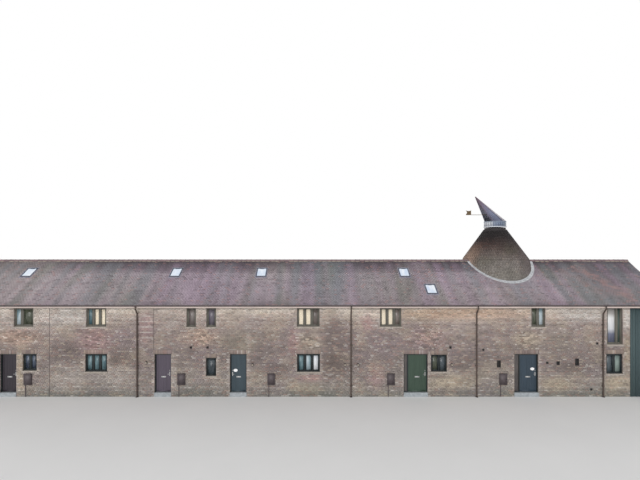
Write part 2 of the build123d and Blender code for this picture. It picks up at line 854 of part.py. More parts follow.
def kiln_flashing():
    """Lead on the slopes round the foot of the drum, turned up against it."""
    bay = centred(KILN_X, KILN_BAY)
    apron = drum_solid(-FLASHING_WIDTH) & under_tiles(bay, FLASHING_THICK)
    upstand = drum_solid(-FLASHING_THICK) & under_tiles(bay, FLASHING_UPSTAND)
    return apron + upstand - drum_solid(0) - under_tiles(bay)


def cowl_curb():
    """Ring on the cone with crossed bars and a collar that steadies the spindle."""
    top = CONE_TOP + CURB_HEIGHT
    ring = pipe_solid(CURB_RADIUS, CURB_RADIUS - CURB_THICK, CONE_TOP, top)
    reach = 2 * CURB_RADIUS - CURB_THICK
    middle = CONE_TOP + BEARING_BAR / 2
    bars = Box(reach, BEARING_BAR, BEARING_BAR) + Box(BEARING_BAR, reach, BEARING_BAR)
    collar = Pos(0, 0, CONE_TOP + CURB_HEIGHT / 2) * Cylinder(BEARING_RADIUS, CURB_HEIGHT)
    curb = ring + KILN_AXIS * (Pos(0, 0, middle) * bars + collar)
    bore = Cylinder(SPINDLE_RADIUS + BEARING_PLAY, 4 * CURB_HEIGHT)
    return curb - KILN_AXIS * Pos(0, 0, CONE_TOP) * bore


def foot_beam():
    """Beam across the inside of the cone that the spindle stands on."""
    beam = Box(2 * CONE_FOOT_RADIUS, FOOT_BEAM_SIZE, FOOT_BEAM_SIZE)
    beam = KILN_AXIS * Pos(0, 0, FOOT_BEAM_TOP - FOOT_BEAM_SIZE / 2) * beam
    return beam & cone_solid(CONE_THICK, CONE_TOP - CONE_FOOT)


# Cowl
def cowl_cone(inset):
    """Leaning cone of the cowl above its ring, drawn in so that its tip ends lower and finer."""
    base = Plane(origin=(0, 0, COWL_RING_TOP)) * Circle(COWL_RADIUS - inset)
    tip_height = COWL_TIP - COWL_TIP_DROP * inset
    tip = Plane(origin=(-COWL_TIP_LEAN, 0, tip_height)) * Circle(COWL_TIP_RADIUS - COWL_TIP_INSET * inset)
    return loft([base, tip], ruled=True)


def cowl_mouth():
    """Wedge that opens the leaning side of the cowl."""
    outline = Polyline(
        (COWL_MOUTH_INSET - COWL_RADIUS, 0, COWL_RING_TOP),
        (-COWL_TIP_LEAN, 0, COWL_TIP - COWL_TIP_RADIUS),
        (-3 * COWL_TIP_LEAN, 0, COWL_TIP - COWL_TIP_RADIUS),
        (-3 * COWL_TIP_LEAN, 0, COWL_RING_TOP),
        close=True,
    )
    return extrude(make_face(outline), amount=2 * COWL_RADIUS, dir=(0, 1, 0), both=True)


def cowl_shell():
    """Boarded cowl: a ring, its leaning back and the open mouth."""
    shell = cowl_cone(0) - cowl_cone(COWL_THICK) - cowl_mouth()
    ring_middle = Pos(0, 0, COWL_FOOT + COWL_RING_HEIGHT / 2)
    ring = Cylinder(COWL_RADIUS, COWL_RING_HEIGHT) - Cylinder(COWL_RADIUS - COWL_THICK, COWL_RING_HEIGHT)
    bead_middle = Pos(0, 0, COWL_FOOT + COWL_BEAD_HEIGHT / 2)
    bead = Cylinder(COWL_RADIUS + COWL_BEAD_PROUD, COWL_BEAD_HEIGHT)
    bead -= Cylinder(COWL_RADIUS - COWL_THICK, COWL_BEAD_HEIGHT)
    return KILN_AXIS * (shell + ring_middle * ring + bead_middle * bead)


def cowl_spindle():
    """Upright spindle with the bars that hold the cowl's ring."""
    foot = FOOT_BEAM_TOP + FOOT_PLAY
    inside = COWL_RADIUS - COWL_THICK
    shaft = Pos(0, 0, (foot + COWL_RING_TOP) / 2) * Cylinder(SPINDLE_RADIUS, COWL_RING_TOP - foot)
    middle = COWL_FOOT + COWL_BAR_ABOVE_FOOT + COWL_BAR / 2
    bars = Pos(0, 0, middle) * (Box(2 * inside, COWL_BAR, COWL_BAR) + Box(COWL_BAR, 2 * inside, COWL_BAR))
    bars &= Pos(0, 0, middle) * Cylinder(inside, COWL_BAR)
    height = COWL_TIP - COWL_RING_TOP
    post = Pos(0, 0, COWL_RING_TOP + height / 2) * Cylinder(SPINDLE_RADIUS, height)
    return KILN_AXIS * (shaft + bars + (post & cowl_cone(COWL_THICK)))


def cowl_vane():
    """Arm through the mouth with a plain pennant that turns the cowl."""
    z = COWL_RING_TOP + VANE_ARM_ABOVE_RING
    tail = VANE_REACH + VANE_LENGTH / 2
    arm = Rot(0, 90, 0) * Cylinder(VANE_ARM_RADIUS, tail - SPINDLE_RADIUS)
    arm = Pos(-(SPINDLE_RADIUS + tail) / 2, 0, z) * arm
    arm -= Pos(0, 0, z) * Cylinder(SPINDLE_RADIUS, 4 * VANE_ARM_RADIUS)
    near = -VANE_REACH + VANE_LENGTH / 2
    far = -VANE_REACH - VANE_LENGTH / 2
    top = z + VANE_HEIGHT
    waist = z + VANE_WAIST * VANE_HEIGHT
    face = make_face(
        Line((near, 0, z), (near, 0, top))
        + ThreePointArc((near, 0, top), (-VANE_REACH, 0, waist), (far, 0, top))
        + Line((far, 0, top), (far + VANE_LENGTH / 4, 0, z + VANE_HEIGHT / 2))
        + Line((far + VANE_LENGTH / 4, 0, z + VANE_HEIGHT / 2), (far, 0, z))
        + Line((far, 0, z), (near, 0, z))
    )
    pennant = extrude(face, amount=VANE_THICK / 2, dir=(0, 1, 0), both=True)
    return KILN_AXIS * (arm + pennant)


def all_nodes():
    """Every piece of the range under its own name."""
    lower, upper = front_windows(GROUND), front_windows(UPSTAIRS)
    nodes = {
        "ground_floor": floor_slab((0, ROOM_FLOOR)),
        "upper_floor": floor_slab((UPPER_FLOOR - UPPER_FLOOR_THICK, UPPER_FLOOR)),
        "walls_over_doors": walls_over_doors(),
        "rear_wall": rear_wall(),
        "party_wall_left": party_wall((ENDS[0], INNER_ENDS[0])),
        "party_wall_right": party_wall((INNER_ENDS[1], ENDS[1])),
        "end_boarding": end_boarding(),
        "ridge_tiles": ridge_tiles(),
        "fascias": both_sides([fascia()]),
        "gutters": both_sides([gutter()]),
        "downpipes": both_sides(downpipe(x) for x in along("pipes")),
        "front_window_sills": loose(window_sill(w) for w in lower + upper),
        "rear_window_sills": loose(mirrored(window_sill(w)) for w in rear_windows()),
        "front_window_frames": loose(window_frame(w) for w in lower + upper),
        "rear_window_frames": loose(mirrored(window_frame(w)) for w in rear_windows()),
        "lower_front_glass": loose(p for w in lower for p in window_panes(w)),
        "upper_front_glass": loose(p for w in upper for p in window_panes(w)),
        "rear_glass": loose(mirrored(p) for w in rear_windows() for p in window_panes(w)),
        "window_blinds": loose(b for w in lower + upper for b in window_blinds(w)),
        "rooflight_frames": loose(rooflight_frame(plane) for plane in rooflight_planes()),
        "rooflight_glass": loose(rooflight_pane(plane) for plane in rooflight_planes()),
        "door_frames": loose(door_frame(door) for door in doors()),
        "door_side_lights": loose(side_glass(door) for door in doors() if door.side),
        "door_thresholds": loose(threshold(door) for door in doors()),
        "door_frame_hinges": frame_hinges(),
        "meter_boxes": loose(meter_box(line + house.meter_box) for line, house in zip(PARTY_LINES, HOUSES)),
        "wall_lamps": loose(wall_lamp(line + x, z) for line, (x, z) in spread("lamps")),
        "wall_vents": loose(wall_vent(line + x, z, size) for line, (x, z, size) in spread("vents")),
        "kiln_drum": kiln_drum(),
        "kiln_cone": kiln_cone(),
        "kiln_flashing": kiln_flashing(),
        "cowl_curb": cowl_curb(),
        "cowl_foot_beam": foot_beam(),
        "cowl_shell": cowl_shell(),
        "cowl_spindle": cowl_spindle(),
        "cowl_vane": cowl_vane(),
    }
    nodes.update(roof_pieces())
    for number, wall in enumerate(front_walls(), start=1):
        nodes[f"front_wall_{number}"] = wall
    for number, door in enumerate(doors(), start=1):
        nodes[f"door_leaf_{number}"] = door_leaf(door)
        nodes[f"door_furniture_{number}"] = door_furniture(door)
    return nodes


os.makedirs("parts", exist_ok=True)
for name, shape in all_nodes().items():
    export_step(shape, f"parts/{name}.step")
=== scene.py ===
import math

import bpy
import numpy as np
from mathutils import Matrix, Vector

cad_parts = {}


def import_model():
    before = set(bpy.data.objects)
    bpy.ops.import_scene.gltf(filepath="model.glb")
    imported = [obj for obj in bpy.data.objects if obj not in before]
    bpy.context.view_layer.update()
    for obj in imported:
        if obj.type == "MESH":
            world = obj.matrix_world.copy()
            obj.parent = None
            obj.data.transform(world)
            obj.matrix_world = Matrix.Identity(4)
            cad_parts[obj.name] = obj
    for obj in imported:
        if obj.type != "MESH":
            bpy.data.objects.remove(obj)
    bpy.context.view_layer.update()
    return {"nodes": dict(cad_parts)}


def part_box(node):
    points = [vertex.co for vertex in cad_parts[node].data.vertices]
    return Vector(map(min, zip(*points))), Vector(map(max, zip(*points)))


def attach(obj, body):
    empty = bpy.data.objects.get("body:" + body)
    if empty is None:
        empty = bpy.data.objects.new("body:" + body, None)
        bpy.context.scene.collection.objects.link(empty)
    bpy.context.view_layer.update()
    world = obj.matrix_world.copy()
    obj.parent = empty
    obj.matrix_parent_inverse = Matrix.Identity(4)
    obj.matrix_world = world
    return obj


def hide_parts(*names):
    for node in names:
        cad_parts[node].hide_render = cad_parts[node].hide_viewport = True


# The looks of a brick range of five joined houses with an old kiln roof and its cowl.
# Metres, in the frame of the construction: +X along the front, -Y towards the viewer.

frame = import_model()
rng = np.random.default_rng(7684)

# Bricks
BRICK_LENGTH = 0.225
BRICK_COURSE = 0.075
BRICK_JOINT = 0.010
BRICK_PROUD = 0.007
HEADER_EVERY = 3
SMALLEST_CUT = 0.014
SOLDIER_HEIGHT = 0.215
REVEAL_THICK = 0.005
HALO_REACH = 0.12
JOINT_WIDTH = 0.022

# Roof tiles
TILE_WIDTH = 0.165
TILE_GAUGE = 0.100
TILE_LAP = 0.035
TILE_THICK = 0.012
TILE_TAIL_LIFT = 0.008
TILE_GAP = 0.003
TILE_WANDER = 0.012
EAVES_OVERHANG = 0.035
RIDGE_RADIUS = 0.13
RIDGE_TILE_LENGTH = 0.30
FLASHING_MARGIN = 0.03
KILN_TILE_CUT = 0.035
KILN_TILE_SMALLEST = 0.02

# Rooflights
APRON_SIDE, APRON_HEAD, APRON_FOOT, APRON_THICK = 0.05, 0.06, 0.12, 0.027
APRON_PLEATS = 12
ROOF_SASH = 0.05

# Windows and doors
SASH_FACE = 0.045
SASH_PROUD = 0.016
SASH_GAP = 0.002
BEAD = 0.012
WEATHERBOARD_INSET = 0.06
WEATHERBOARD_DEEP, WEATHERBOARD_TOP = 0.022, 0.004
LETTER_FLAP_HALF = 0.115
LOCK_HEIGHT, LOCK_INSET = 1.42, 0.075
RIGHT_HUNG_DOOR = 3
PLATED_DOORS = {3: (0.24, 1.42), 5: (0.73, 1.50)}
PLATE_SIZE = (0.115, 0.08)

# Gutters and pipes
GUTTER_RADIUS = 0.058
GUTTER_LENGTHS = 10
GUTTER_BRACKETS = 44
GUTTER_CAP_STEPS = 10
PIPE_RADIUS = 0.038
PIPE_OFF_WALL = 0.030

# Cowl
COWL_RING_HEIGHT = 0.38
COWL_BOARD_THICK = 0.022
COWL_RING_BOARDS = 26
COWL_BACK_BOARDS = 20
MOUTH_HALF_ANGLE = math.radians(45)
KILN_SEGMENTS = 72

# Camera: level, looking along +Y, with the horizon a little above the eaves
CAMERA_PLACE = (0.25, -24.2, 8.42)
CAMERA_LENS = 21.375
CAMERA_SENSOR = 36
CAMERA_REACH = 2000
PHOTO_WIDTH = 640
HORIZON_BELOW_MIDDLE = 5
VANISHING_LEFT_OF_MIDDLE = 2

SHARP_ANGLE = math.radians(35)
FLOOR_HALF = 60

# Light
WORLD_STRENGTH = 0.62
KEY_STRENGTH = 1.3
FILL_STRENGTH = 0.5


def shade(red, green, blue):
    """Linear colour of an sRGB colour given from 0 to 255."""
    scaled = [c / 255 for c in (red, green, blue)]
    return np.array([c / 12.92 if c <= 0.04045 else ((c + 0.055) / 1.055) ** 2.4 for c in scaled])


def shades(*colours):
    """Linear colours of several sRGB colours."""
    return [shade(*colour) for colour in colours]


def colour_stops(*rows):
    """Stops of (place, linear colour), from rows of a place and an sRGB colour."""
    return [(place, shade(*colour)) for place, *colour in rows]


def around(centre, half):
    """Limits at the same distance to both sides of a centre."""
    return (centre - half, centre + half)


# Reading the construction
def vertices(node):
    """All vertices of a CAD node."""
    mesh = frame["nodes"][node].data
    points = np.empty(len(mesh.vertices) * 3, np.float32)
    mesh.vertices.foreach_get("co", points)
    return points.reshape(-1, 3).astype(float)


def islands(node):
    """Lowest and highest corner of each separate solid of a CAD node, from left to right."""
    mesh = frame["nodes"][node].data
    points = vertices(node)
    _, merged = np.unique(np.round(points, 5), axis=0, return_inverse=True)
    edges = np.empty(len(mesh.edges) * 2, np.int32)
    mesh.edges.foreach_get("vertices", edges)
    firsts, seconds = merged.ravel()[edges].reshape(-1, 2).T
    label, before = np.arange(merged.max() + 1), None
    while before is None or (label != before).any():
        before = label.copy()
        lowest = np.minimum(label[firsts], label[seconds])
        np.minimum.at(label, firsts, lowest)
        np.minimum.at(label, seconds, lowest)
    owner = label[merged.ravel()]
    solids = [points[owner == name] for name in np.unique(owner)]
    boxes = [(own.min(0), own.max(0)) for own in solids]
    return sorted(boxes, key=lambda box: tuple(np.round(box[0], 3)))


HOUSE_LOW, HOUSE_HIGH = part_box("rear_wall")
LEFT_END, RIGHT_END = HOUSE_LOW.x, HOUSE_HIGH.x
REAR = HOUSE_HIGH.y
FRONT = -REAR
INNER_REAR = HOUSE_LOW.y
INNER_END = RIGHT_END - (REAR - INNER_REAR)
SLAB_LOW, SLAB_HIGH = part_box("roof_front_left")
ROOF_LEFT = SLAB_LOW.x
ROOF_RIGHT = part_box("roof_front_right")[1].x
RIDGE = SLAB_HIGH.z
EAVES_Y = -SLAB_LOW.y
SLAB_POINTS = vertices("roof_front_left")
EAVES_TOP = SLAB_POINTS[SLAB_POINTS[:, 1] < -EAVES_Y + 1e-4][:, 2].max()
PITCH = math.atan2(RIDGE - EAVES_TOP, EAVES_Y)
SLOPE_LENGTH = EAVES_Y / math.cos(PITCH)
SLAB_PLUMB = EAVES_TOP - SLAB_LOW.z


def roof_top(y):
    """Height of the roof slab's upper face."""
    return RIDGE - np.abs(y) * math.tan(PITCH)


WALL_TOP = roof_top(REAR) - SLAB_PLUMB
CONE_LOW, CONE_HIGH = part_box("kiln_cone")
DRUM_LOW, DRUM_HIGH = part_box("kiln_drum")
KILN_X = (CONE_LOW.x + CONE_HIGH.x) / 2
KILN_Y = (CONE_LOW.y + CONE_HIGH.y) / 2


def from_axis(points):
    """Distance of points from the kiln's axis."""
    return np.hypot(points[:, 0] - KILN_X, points[:, 1] - KILN_Y)


def radius_at(node, height):
    """Outer radius of a round CAD node near one height."""
    points = vertices(node)
    return from_axis(points[np.abs(points[:, 2] - height) < 1e-3]).max()


def drum_splay():
    """How fast the drum's outer face widens downwards."""
    points = vertices("kiln_drum")
    points = points[points[:, 2] < DRUM_HIGH.z - 0.5]
    return ((from_axis(points) - DRUM_TOP_RADIUS) / (DRUM_HIGH.z - points[:, 2])).max()


CONE_FOOT_RADIUS = radius_at("kiln_cone", CONE_LOW.z)
CONE_TOP_RADIUS = radius_at("kiln_cone", CONE_HIGH.z)
DRUM_TOP_RADIUS = radius_at("kiln_drum", DRUM_HIGH.z)
DRUM_SPLAY = drum_splay()


def drum_radius(z):
    """Outer radius of the splayed drum at a height."""
    return DRUM_TOP_RADIUS + DRUM_SPLAY * (DRUM_HIGH.z - z)


# Meshes made from arrays
BOX_FACES = np.array([[0, 3, 2, 1], [4, 5, 6, 7], [0, 1, 5, 4], [1, 2, 6, 5], [2, 3, 7, 6], [3, 0, 4, 7]])


def box_corners(x_limits, y_limits, z_limits):
    """Eight corners of each of many boxes, whose limits are numbers or arrays."""
    limits = np.broadcast_arrays(*x_limits, *y_limits, *z_limits)
    x0, x1, y0, y1, z0, z1 = [np.atleast_1d(limit).astype(float) for limit in limits]
    corners = ([x0, x1, x1, x0] * 2, [y0, y0, y1, y1] * 2, [z0] * 4 + [z1] * 4)
    return np.stack([np.stack(parts, axis=1) for parts in corners], axis=2)


def placed(name, data):
    """New object of some data, put into the scene."""
    thing = bpy.data.objects.new(name, data)
    bpy.context.scene.collection.objects.link(thing)
    return thing


def mesh_piece(name, points, faces, material, slot, body="house", smooth=False, replaces=()):
    """New piece from arrays of points and four-sided faces, riding on a body."""
    mesh = bpy.data.meshes.new(name)
    points, faces = np.asarray(points, np.float32), faces.astype(np.int32)
    mesh.vertices.add(points.size // 3)
    mesh.vertices.foreach_set("co", points.ravel())
    mesh.loops.add(faces.size)
    mesh.loops.foreach_set("vertex_index", faces.ravel())
    mesh.polygons.add(len(faces))
    mesh.polygons.foreach_set("loop_start", np.arange(0, faces.size, 4, dtype=np.int32))
    mesh.update(calc_edges=True)
    if smooth:
        mesh.shade_smooth()
        mesh.set_sharp_from_angle(angle=SHARP_ANGLE)
    mesh.materials.append(material)
    piece = placed(name, mesh)
    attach(piece, body)
    if replaces:
        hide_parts(*replaces)
    return piece


def add_tint(piece, colours, repeats):
    """Gives each part of a piece its own colour, one row of colour for so many points."""
    tint = piece.data.attributes.new("tint", "FLOAT_COLOR", "POINT")
    rows = np.concatenate([colours, np.ones((len(colours), 1))], axis=1)
    tint.data.foreach_set("color", np.repeat(rows, repeats, axis=0).astype(np.float32).ravel())


def box_piece(name, boxes, material, slot, colours=None, flipped=False, **options):
    """New piece of many boxes, given as arrays of their corners; colours is one row a box."""
    boxes = np.concatenate([np.reshape(part, (-1, 8, 3)) for part in boxes])
    order = BOX_FACES[:, ::-1] if flipped else BOX_FACES
    faces = (np.arange(len(boxes))[:, None, None] * 8 + order).reshape(-1, 4)
    piece = mesh_piece(name, boxes, faces, material, slot, **options)
    tone = piece.data.attributes.new("tone", "FLOAT", "POINT")
    tone.data.foreach_set("value", np.repeat(rng.random(len(boxes)), 8).astype(np.float32))
    if colours is not None:
        add_tint(piece, colours, 8)
    return piece


def grid_piece(name, grids, material, slot, closed=True, colours=None, **options):
    """New piece of many surfaces, each a grid of rows of points; closed joins the ends of a row."""
    grids = np.asarray(grids, float)
    count, rows, columns = grids.shape[:3]
    row, column = np.meshgrid(np.arange(rows - 1), np.arange(columns if closed else columns - 1), indexing="ij")
    after = (column + 1) % columns
    corners = ((row, column), (row, after), (row + 1, after), (row + 1, column))
    faces = np.stack([down * columns + along for down, along in corners], axis=2).reshape(1, -1, 4)
    faces = (faces + np.arange(count)[:, None, None] * rows * columns).reshape(-1, 4)
    piece = mesh_piece(name, grids, faces, material, slot, smooth=True, **options)
    if colours is not None:
        add_tint(piece, colours, rows * columns)


def turned(centre, profile, segments=24, radius=0, foot=0):
    """Grid of a shape turned about an upright axis; profile adds to the radius and the foot."""
    x, y = centre
    angles = np.arange(segments) * 2 * math.pi / segments
    rings = [(radius + out, foot + up) for out, up in profile]
    return np.array([[(x + r * math.cos(a), y + r * math.sin(a), z) for a in angles] for r, z in rings])


def facing(centre, face, profile, size=(1, 1), segments=28):
    """Grid of a shape turned about an axis towards the viewer; profile is radius and height off a face."""
    flat = turned((0, 0), [(r, face - out) for r, out in profile], segments)
    return (flat * (*size, 1) + (*centre, 0))[..., [0, 2, 1]]


def tapered(centre, heights, halves):
    """Eight corners of an upright block whose half width and depth change from foot to top."""
    x, y = centre
    return np.array([
        (x + across * sx, y + deep * sy, z)
        for z, (across, deep) in zip(heights, halves)
        for sx, sy in ((-1, -1), (1, -1), (1, 1), (-1, 1))
    ])


# Colours of many small parts
def cloud(x, y, size, waves=16):
    """Smooth random field over a plane, about -1 to 1, in patches of about the given size."""
    total = 0
    for _ in range(waves):
        heading, phase = rng.uniform(0, 2 * math.pi, 2)
        rate = 2 * math.pi / (size * rng.uniform(0.9, 3.0))
        total = total + np.cos(rate * (x * math.cos(heading) + y * math.sin(heading)) + phase)
    return np.clip(total / math.sqrt(waves), -1, 1)


def blended(colours, *layers):
    """Rows of colour mixed in turn towards each layer's colour, by its weight for each row."""
    for other, weight in layers:
        weight = np.clip(weight, 0, 1)[:, None]
        colours = colours * (1 - weight) + other * weight
    return colours


def by_height(values, stops):
    """Colour of each value between stops of (value, colour)."""
    places = [place for place, _ in stops]
    return np.stack([np.interp(values, places, [colour[i] for _, colour in stops]) for i in range(3)], axis=1)


def patch(x, z, centre_x, centre_z, reach_x, reach_z):
    """Weight of a soft oval patch on a wall or roof."""
    return np.exp(-(((x - centre_x) / reach_x) ** 2 + ((z - centre_z) / reach_z) ** 2) ** 1.5)


def patch_layers(x, z, patches):
    """Layers of soft patches, each given by its centre, reach, colour and strength."""
    return [(colour, strength * patch(x, z, *oval)) for *oval, colour, strength in patches]


# Materials
class Finish:
    """A material being built, with short ways to add the nodes that finishes share."""

    def __init__(self, name, roughness, **sockets):
        self.material = bpy.data.materials.new(name)
        self.material.use_nodes = True
        self.tree = self.material.node_tree
        self.shader = self.tree.nodes["Principled BSDF"]
        for socket, value in {"Roughness": roughness, **sockets}.items():
            self.put(value, self.shader.inputs[socket.replace("_", " ")])
        self.place = self.add("TexCoord", "Object")

    def put(self, value, socket):
        """Gives a socket a link, a number, a colour or a vector."""
        if isinstance(value, bpy.types.NodeSocket):
            self.tree.links.new(value, socket)
        elif isinstance(value, (int, float)):
            socket.default_value = value
        else:
            socket.default_value = (*value, 1)[:len(socket.default_value)]

    def add(self, kind, output, inputs=None, **settings):
        """One output of a new node with these inputs and settings."""
        node = self.tree.nodes.new("ShaderNode" + kind)
        for key, value in settings.items():
            setattr(node, key, value)
        for socket, value in (inputs or {}).items():
            self.put(value, node.inputs[socket])
        return node.outputs[output]

    def noise(self, scale, stretch=(1, 1, 1), detail=4, roughness=0.6):
        place = self.add("Mapping", "Vector", {"Vector": self.place, "Scale": stretch})
        inputs = {"Vector": place, "Scale": scale, "Detail": detail, "Roughness": roughness}
        return self.add("TexNoise", "Fac", inputs)

    def between(self, value, low, high, new_low=0, new_high=1):
        limits = {"From Min": low, "From Max": high, "To Min": new_low, "To Max": new_high}
        return self.add("MapRange", "Result", {"Value": value, **limits})

    def height(self, low, high):
        """From 0 at one height to 1 at another."""
        return self.between(self.add("SeparateXYZ", "Z", {"Vector": self.place}), low, high)

    def mix(self, factor, first, second, mode="MIX"):
        return self.add("MixRGB", "Color", {"Fac": factor, "Color1": first, "Color2": second}, blend_type=mode)

    def own_colour(self, factor):
        """The colour that comes with the mesh, times a factor."""
        grey = self.add("CombineColor", "Color", dict.fromkeys(("Red", "Green", "Blue"), factor))
        return self.mix(1.0, self.add("Attribute", "Color", attribute_name="tint"), grey, "MULTIPLY")

    def ramp(self, factor, stops):
        """Colour of a factor between stops of (place, colour)."""
        ramp = self.add("ValToRGB", "Color", {"Fac": factor})
        elements = ramp.node.color_ramp.elements
        for element, (place, _) in zip(elements, (stops[0], stops[-1])):
            element.position = place
        for place, _ in stops[1:-1]:
            elements.new(place)
        for element, (_, colour) in zip(elements, stops):
            element.color = (*colour, 1)
        return ramp

    def bump(self, height, distance, strength):
        inputs = {"Height": height, "Distance": distance, "Strength": strength}
        self.put(self.add("Bump", "Normal", inputs), self.shader.inputs["Normal"])

    def done(self, colour):
        self.put(colour, self.shader.inputs["Base Color"])
        return self.material


def worn_paint(name, colour, worn, roughness=0.5, grain=(1, 1, 1), amount=0.5, **sockets):
    """Painted surface with broad fading, dirt and fine wear."""
    finish = Finish(name, roughness, **sockets)
    colour, worn = shades(colour, worn)
    faded = finish.mix(finish.between(finish.noise(2.2, grain), 0.35, 0.7), colour, colour * 1.25)
    spread = (0.62 - 0.12 * amount, 0.78 - 0.08 * amount, 0, amount)
    finish.bump(finish.noise(70, grain), 0.002, 0.4)
    return finish.done(finish.mix(finish.between(finish.noise(26, grain, 6, 0.7), *spread), faded, worn))


def tinted_finish(name, stain, stain_amount, grain_scale):
    """Clay whose colour, with any painted light or shade in it, comes with the mesh, with grain and soft stains over
    it.
    """
    finish = Finish(name, 0.88)
    grain = finish.between(finish.noise(grain_scale, detail=6, roughness=0.7), 0.3, 0.75, 0.86, 1.14)
    stains = finish.between(finish.noise(4, (1, 1, 1.6), 7, 0.75), 0.56, 0.76, 0, stain_amount)
    finish.bump(finish.noise(95, detail=6, roughness=0.75), 0.003, 0.6)
    return finish.done(finish.mix(stains, finish.own_colour(grain), shade(*stain)))


def mortar_finish():
    """Lime mortar of the walls behind and between the bricks."""
    finish = Finish("mortar", 0.92)
    # Darker at the foot and paler towards the wall top; the pale top is partly painted light that offsets the shade of
    # the eaves, as on the bricks.
    tall = finish.ramp(finish.height(0, 5), colour_stops(
        (0.0, 122, 122, 110), (0.12, 160, 152, 142), (0.4, 150, 142, 134), (0.85, 166, 154, 146),
        (1.0, 200, 188, 168),
    ))
    stains = finish.between(finish.noise(1.7, detail=6), 0.45, 0.7, 0, 0.3)
    finish.bump(finish.noise(120, detail=6), 0.003, 0.6)
    return finish.done(finish.mix(stains, tall, shade(126, 118, 110)))


def plaster_finish():
    """Plain painted plaster inside, slightly uneven."""
    finish = Finish("plaster", 0.9)
    uneven = finish.between(finish.noise(1.3, detail=5), 0.35, 0.65)
    finish.bump(finish.noise(18, detail=5), 0.002, 0.3)
    return finish.done(finish.mix(uneven, *shades((206, 202, 192), (222, 218, 208))))


def lead_finish(name, *colours):
    """Dull lead sheet in three shades, pale where it has weathered."""
    finish = Finish(name, 0.6, Metallic=0.15)
    finish.bump(finish.noise(14, detail=5), 0.004, 0.5)
    stops = [*zip((0.3, 0.5, 0.7), shades(*colours))]
    return finish.done(finish.ramp(finish.noise(7, detail=7, roughness=0.7), stops))


def stone_finish(name, *colours):
    """Stone in three shades, with dirt in its pores."""
    finish = Finish(name, 0.85)
    finish.bump(finish.noise(60, detail=6), 0.003, 0.6)
    stops = [*zip((0.3, 0.55, 0.75), shades(*colours))]
    return finish.done(finish.ramp(finish.noise(6, detail=8, roughness=0.7), stops))


def glass_finish(name, low, high, alpha=0.9, streak=0.35):
    """Window glass with painted reflections of the sky and the painted dark of the room, as a soft change of colour.
    """
    finish = Finish(name, 0.06, Alpha=alpha)
    low, high = shades(low, high)
    body = finish.mix(finish.between(finish.noise(1.6, (2.2, 1, 0.7), 2), 0.35, 0.65), low, high)
    return finish.done(finish.mix(finish.between(finish.noise(5, (3, 1, 0.4), 3), 0.5, 0.7, 0, streak), body, low))


def banded_glass():
    """Tall pane with a pale curtain seen in its middle and the dark of the room below."""
    finish = Finish("glass_banded", 0.06, Alpha=0.9)
    foot, top = 2.9, 4.9
    body = finish.ramp(finish.height(foot, top), colour_stops(
        (0.0, 100, 106, 128), (0.28, 124, 128, 150), (0.42, 226, 228, 232), (0.72, 238, 238, 238),
        (0.85, 190, 186, 182), (1.0, 180, 176, 172),
    ))
    streaks = finish.between(finish.noise(5, (3, 1, 0.4), 3), 0.45, 0.7, 0, 0.25)
    return finish.done(finish.mix(streaks, body, shade(170, 176, 190)))


def blind_finish():
    """Cloth blind with a fine level weave and a painted glow, as if lit from within the room."""
    finish = Finish("blind", 0.8, Emission_Strength=0.12, Emission_Color=shade(255, 232, 200))
    weave = finish.between(finish.noise(30, (1, 1, 18), 2), 0.35, 0.65)
    finish.bump(weave, 0.001, 0.5)
    return finish.done(finish.mix(weave, *shades((246, 234, 212), (252, 246, 230))))


def boards_finish():
    """Upright dark boards, each of its own shade, with grain along them."""
    finish = Finish("dark_boards", 0.75)
    light, dark = shades((78, 96, 98), (46, 64, 68))
    grain = finish.noise(14, (3, 3, 0.25), 6, 0.65)
    board = finish.mix(finish.add("Attribute", "Fac", attribute_name="tone"), dark, light)
    finish.bump(grain, 0.003, 0.6)
    return finish.done(finish.mix(finish.between(grain, 0.45, 0.7, 0, 0.45), board, dark * 0.6))


def cowl_finish():
    """Old white paint on boards whose colours carry painted shade and painted light by side, darker towards the tip,
    streaked and peeling.
    """
    finish = Finish("cowl_paint", 0.6)
    streaks = finish.between(finish.noise(5, (2.5, 2.5, 0.35), 5, 0.6), 0.3, 0.7, 0.88, 1.08)
    towards_tip = finish.between(finish.height(10.4, 11.5), 0, 1, 0, 0.85)
    paint = finish.mix(towards_tip, finish.own_colour(streaks), shade(108, 76, 88))
    peel = finish.between(finish.noise(22, (2, 2, 0.6), 8, 0.75), 0.68, 0.76, 0, 0.5)
    finish.bump(finish.noise(30, (3, 3, 0.3), 6), 0.003, 0.5)
    return finish.done(finish.mix(peel, paint, shade(118, 108, 110)))


def floor_board_finish():
    """Plain floor boards inside."""
    finish = Finish("floor_boards", 0.6)
    grain = finish.noise(9, (0.3, 6, 1), 6)
    finish.bump(grain, 0.002, 0.4)
    return finish.done(finish.mix(finish.between(grain, 0.35, 0.65), *shades((112, 88, 64), (150, 122, 92))))


MORTAR, PLASTER, BLIND = mortar_finish(), plaster_finish(), blind_finish()
FLOOR_BOARDS, DARK_BOARDS, COWL_PAINT = floor_board_finish(), boards_finish(), cowl_finish()
BRICK = tinted_finish("brick", (178, 168, 158), 0.22, 55)
TILE = tinted_finish("roof_tile", (150, 152, 140), 0.25, 48)
LEAD = lead_finish("lead", (152, 154, 160), (188, 190, 194), (212, 214, 216))
GREY_LEAD = lead_finish("grey_lead", (112, 110, 122), (140, 136, 148), (168, 162, 176))
STONE = stone_finish("step_stone", (138, 144, 148), (168, 174, 178), (188, 192, 196))
SILL_STONE = stone_finish("sill_stone", (150, 142, 136), (184, 174, 164), (204, 194, 184))
LOWER_FRAME = worn_paint("lower_frame_paint", (26, 34, 36), (60, 74, 76), 0.45)
UPPER_FRAME = worn_paint("upper_frame_paint", (100, 98, 90), (132, 129, 120))
REAR_FRAME = worn_paint("rear_frame_paint", (58, 60, 58), (96, 96, 90))
GUTTER_PAINT = worn_paint("gutter_paint", (64, 54, 60), (98, 84, 84))
PIPE_PAINT = worn_paint("pipe_paint", (74, 62, 56), (104, 76, 66), amount=0.6)
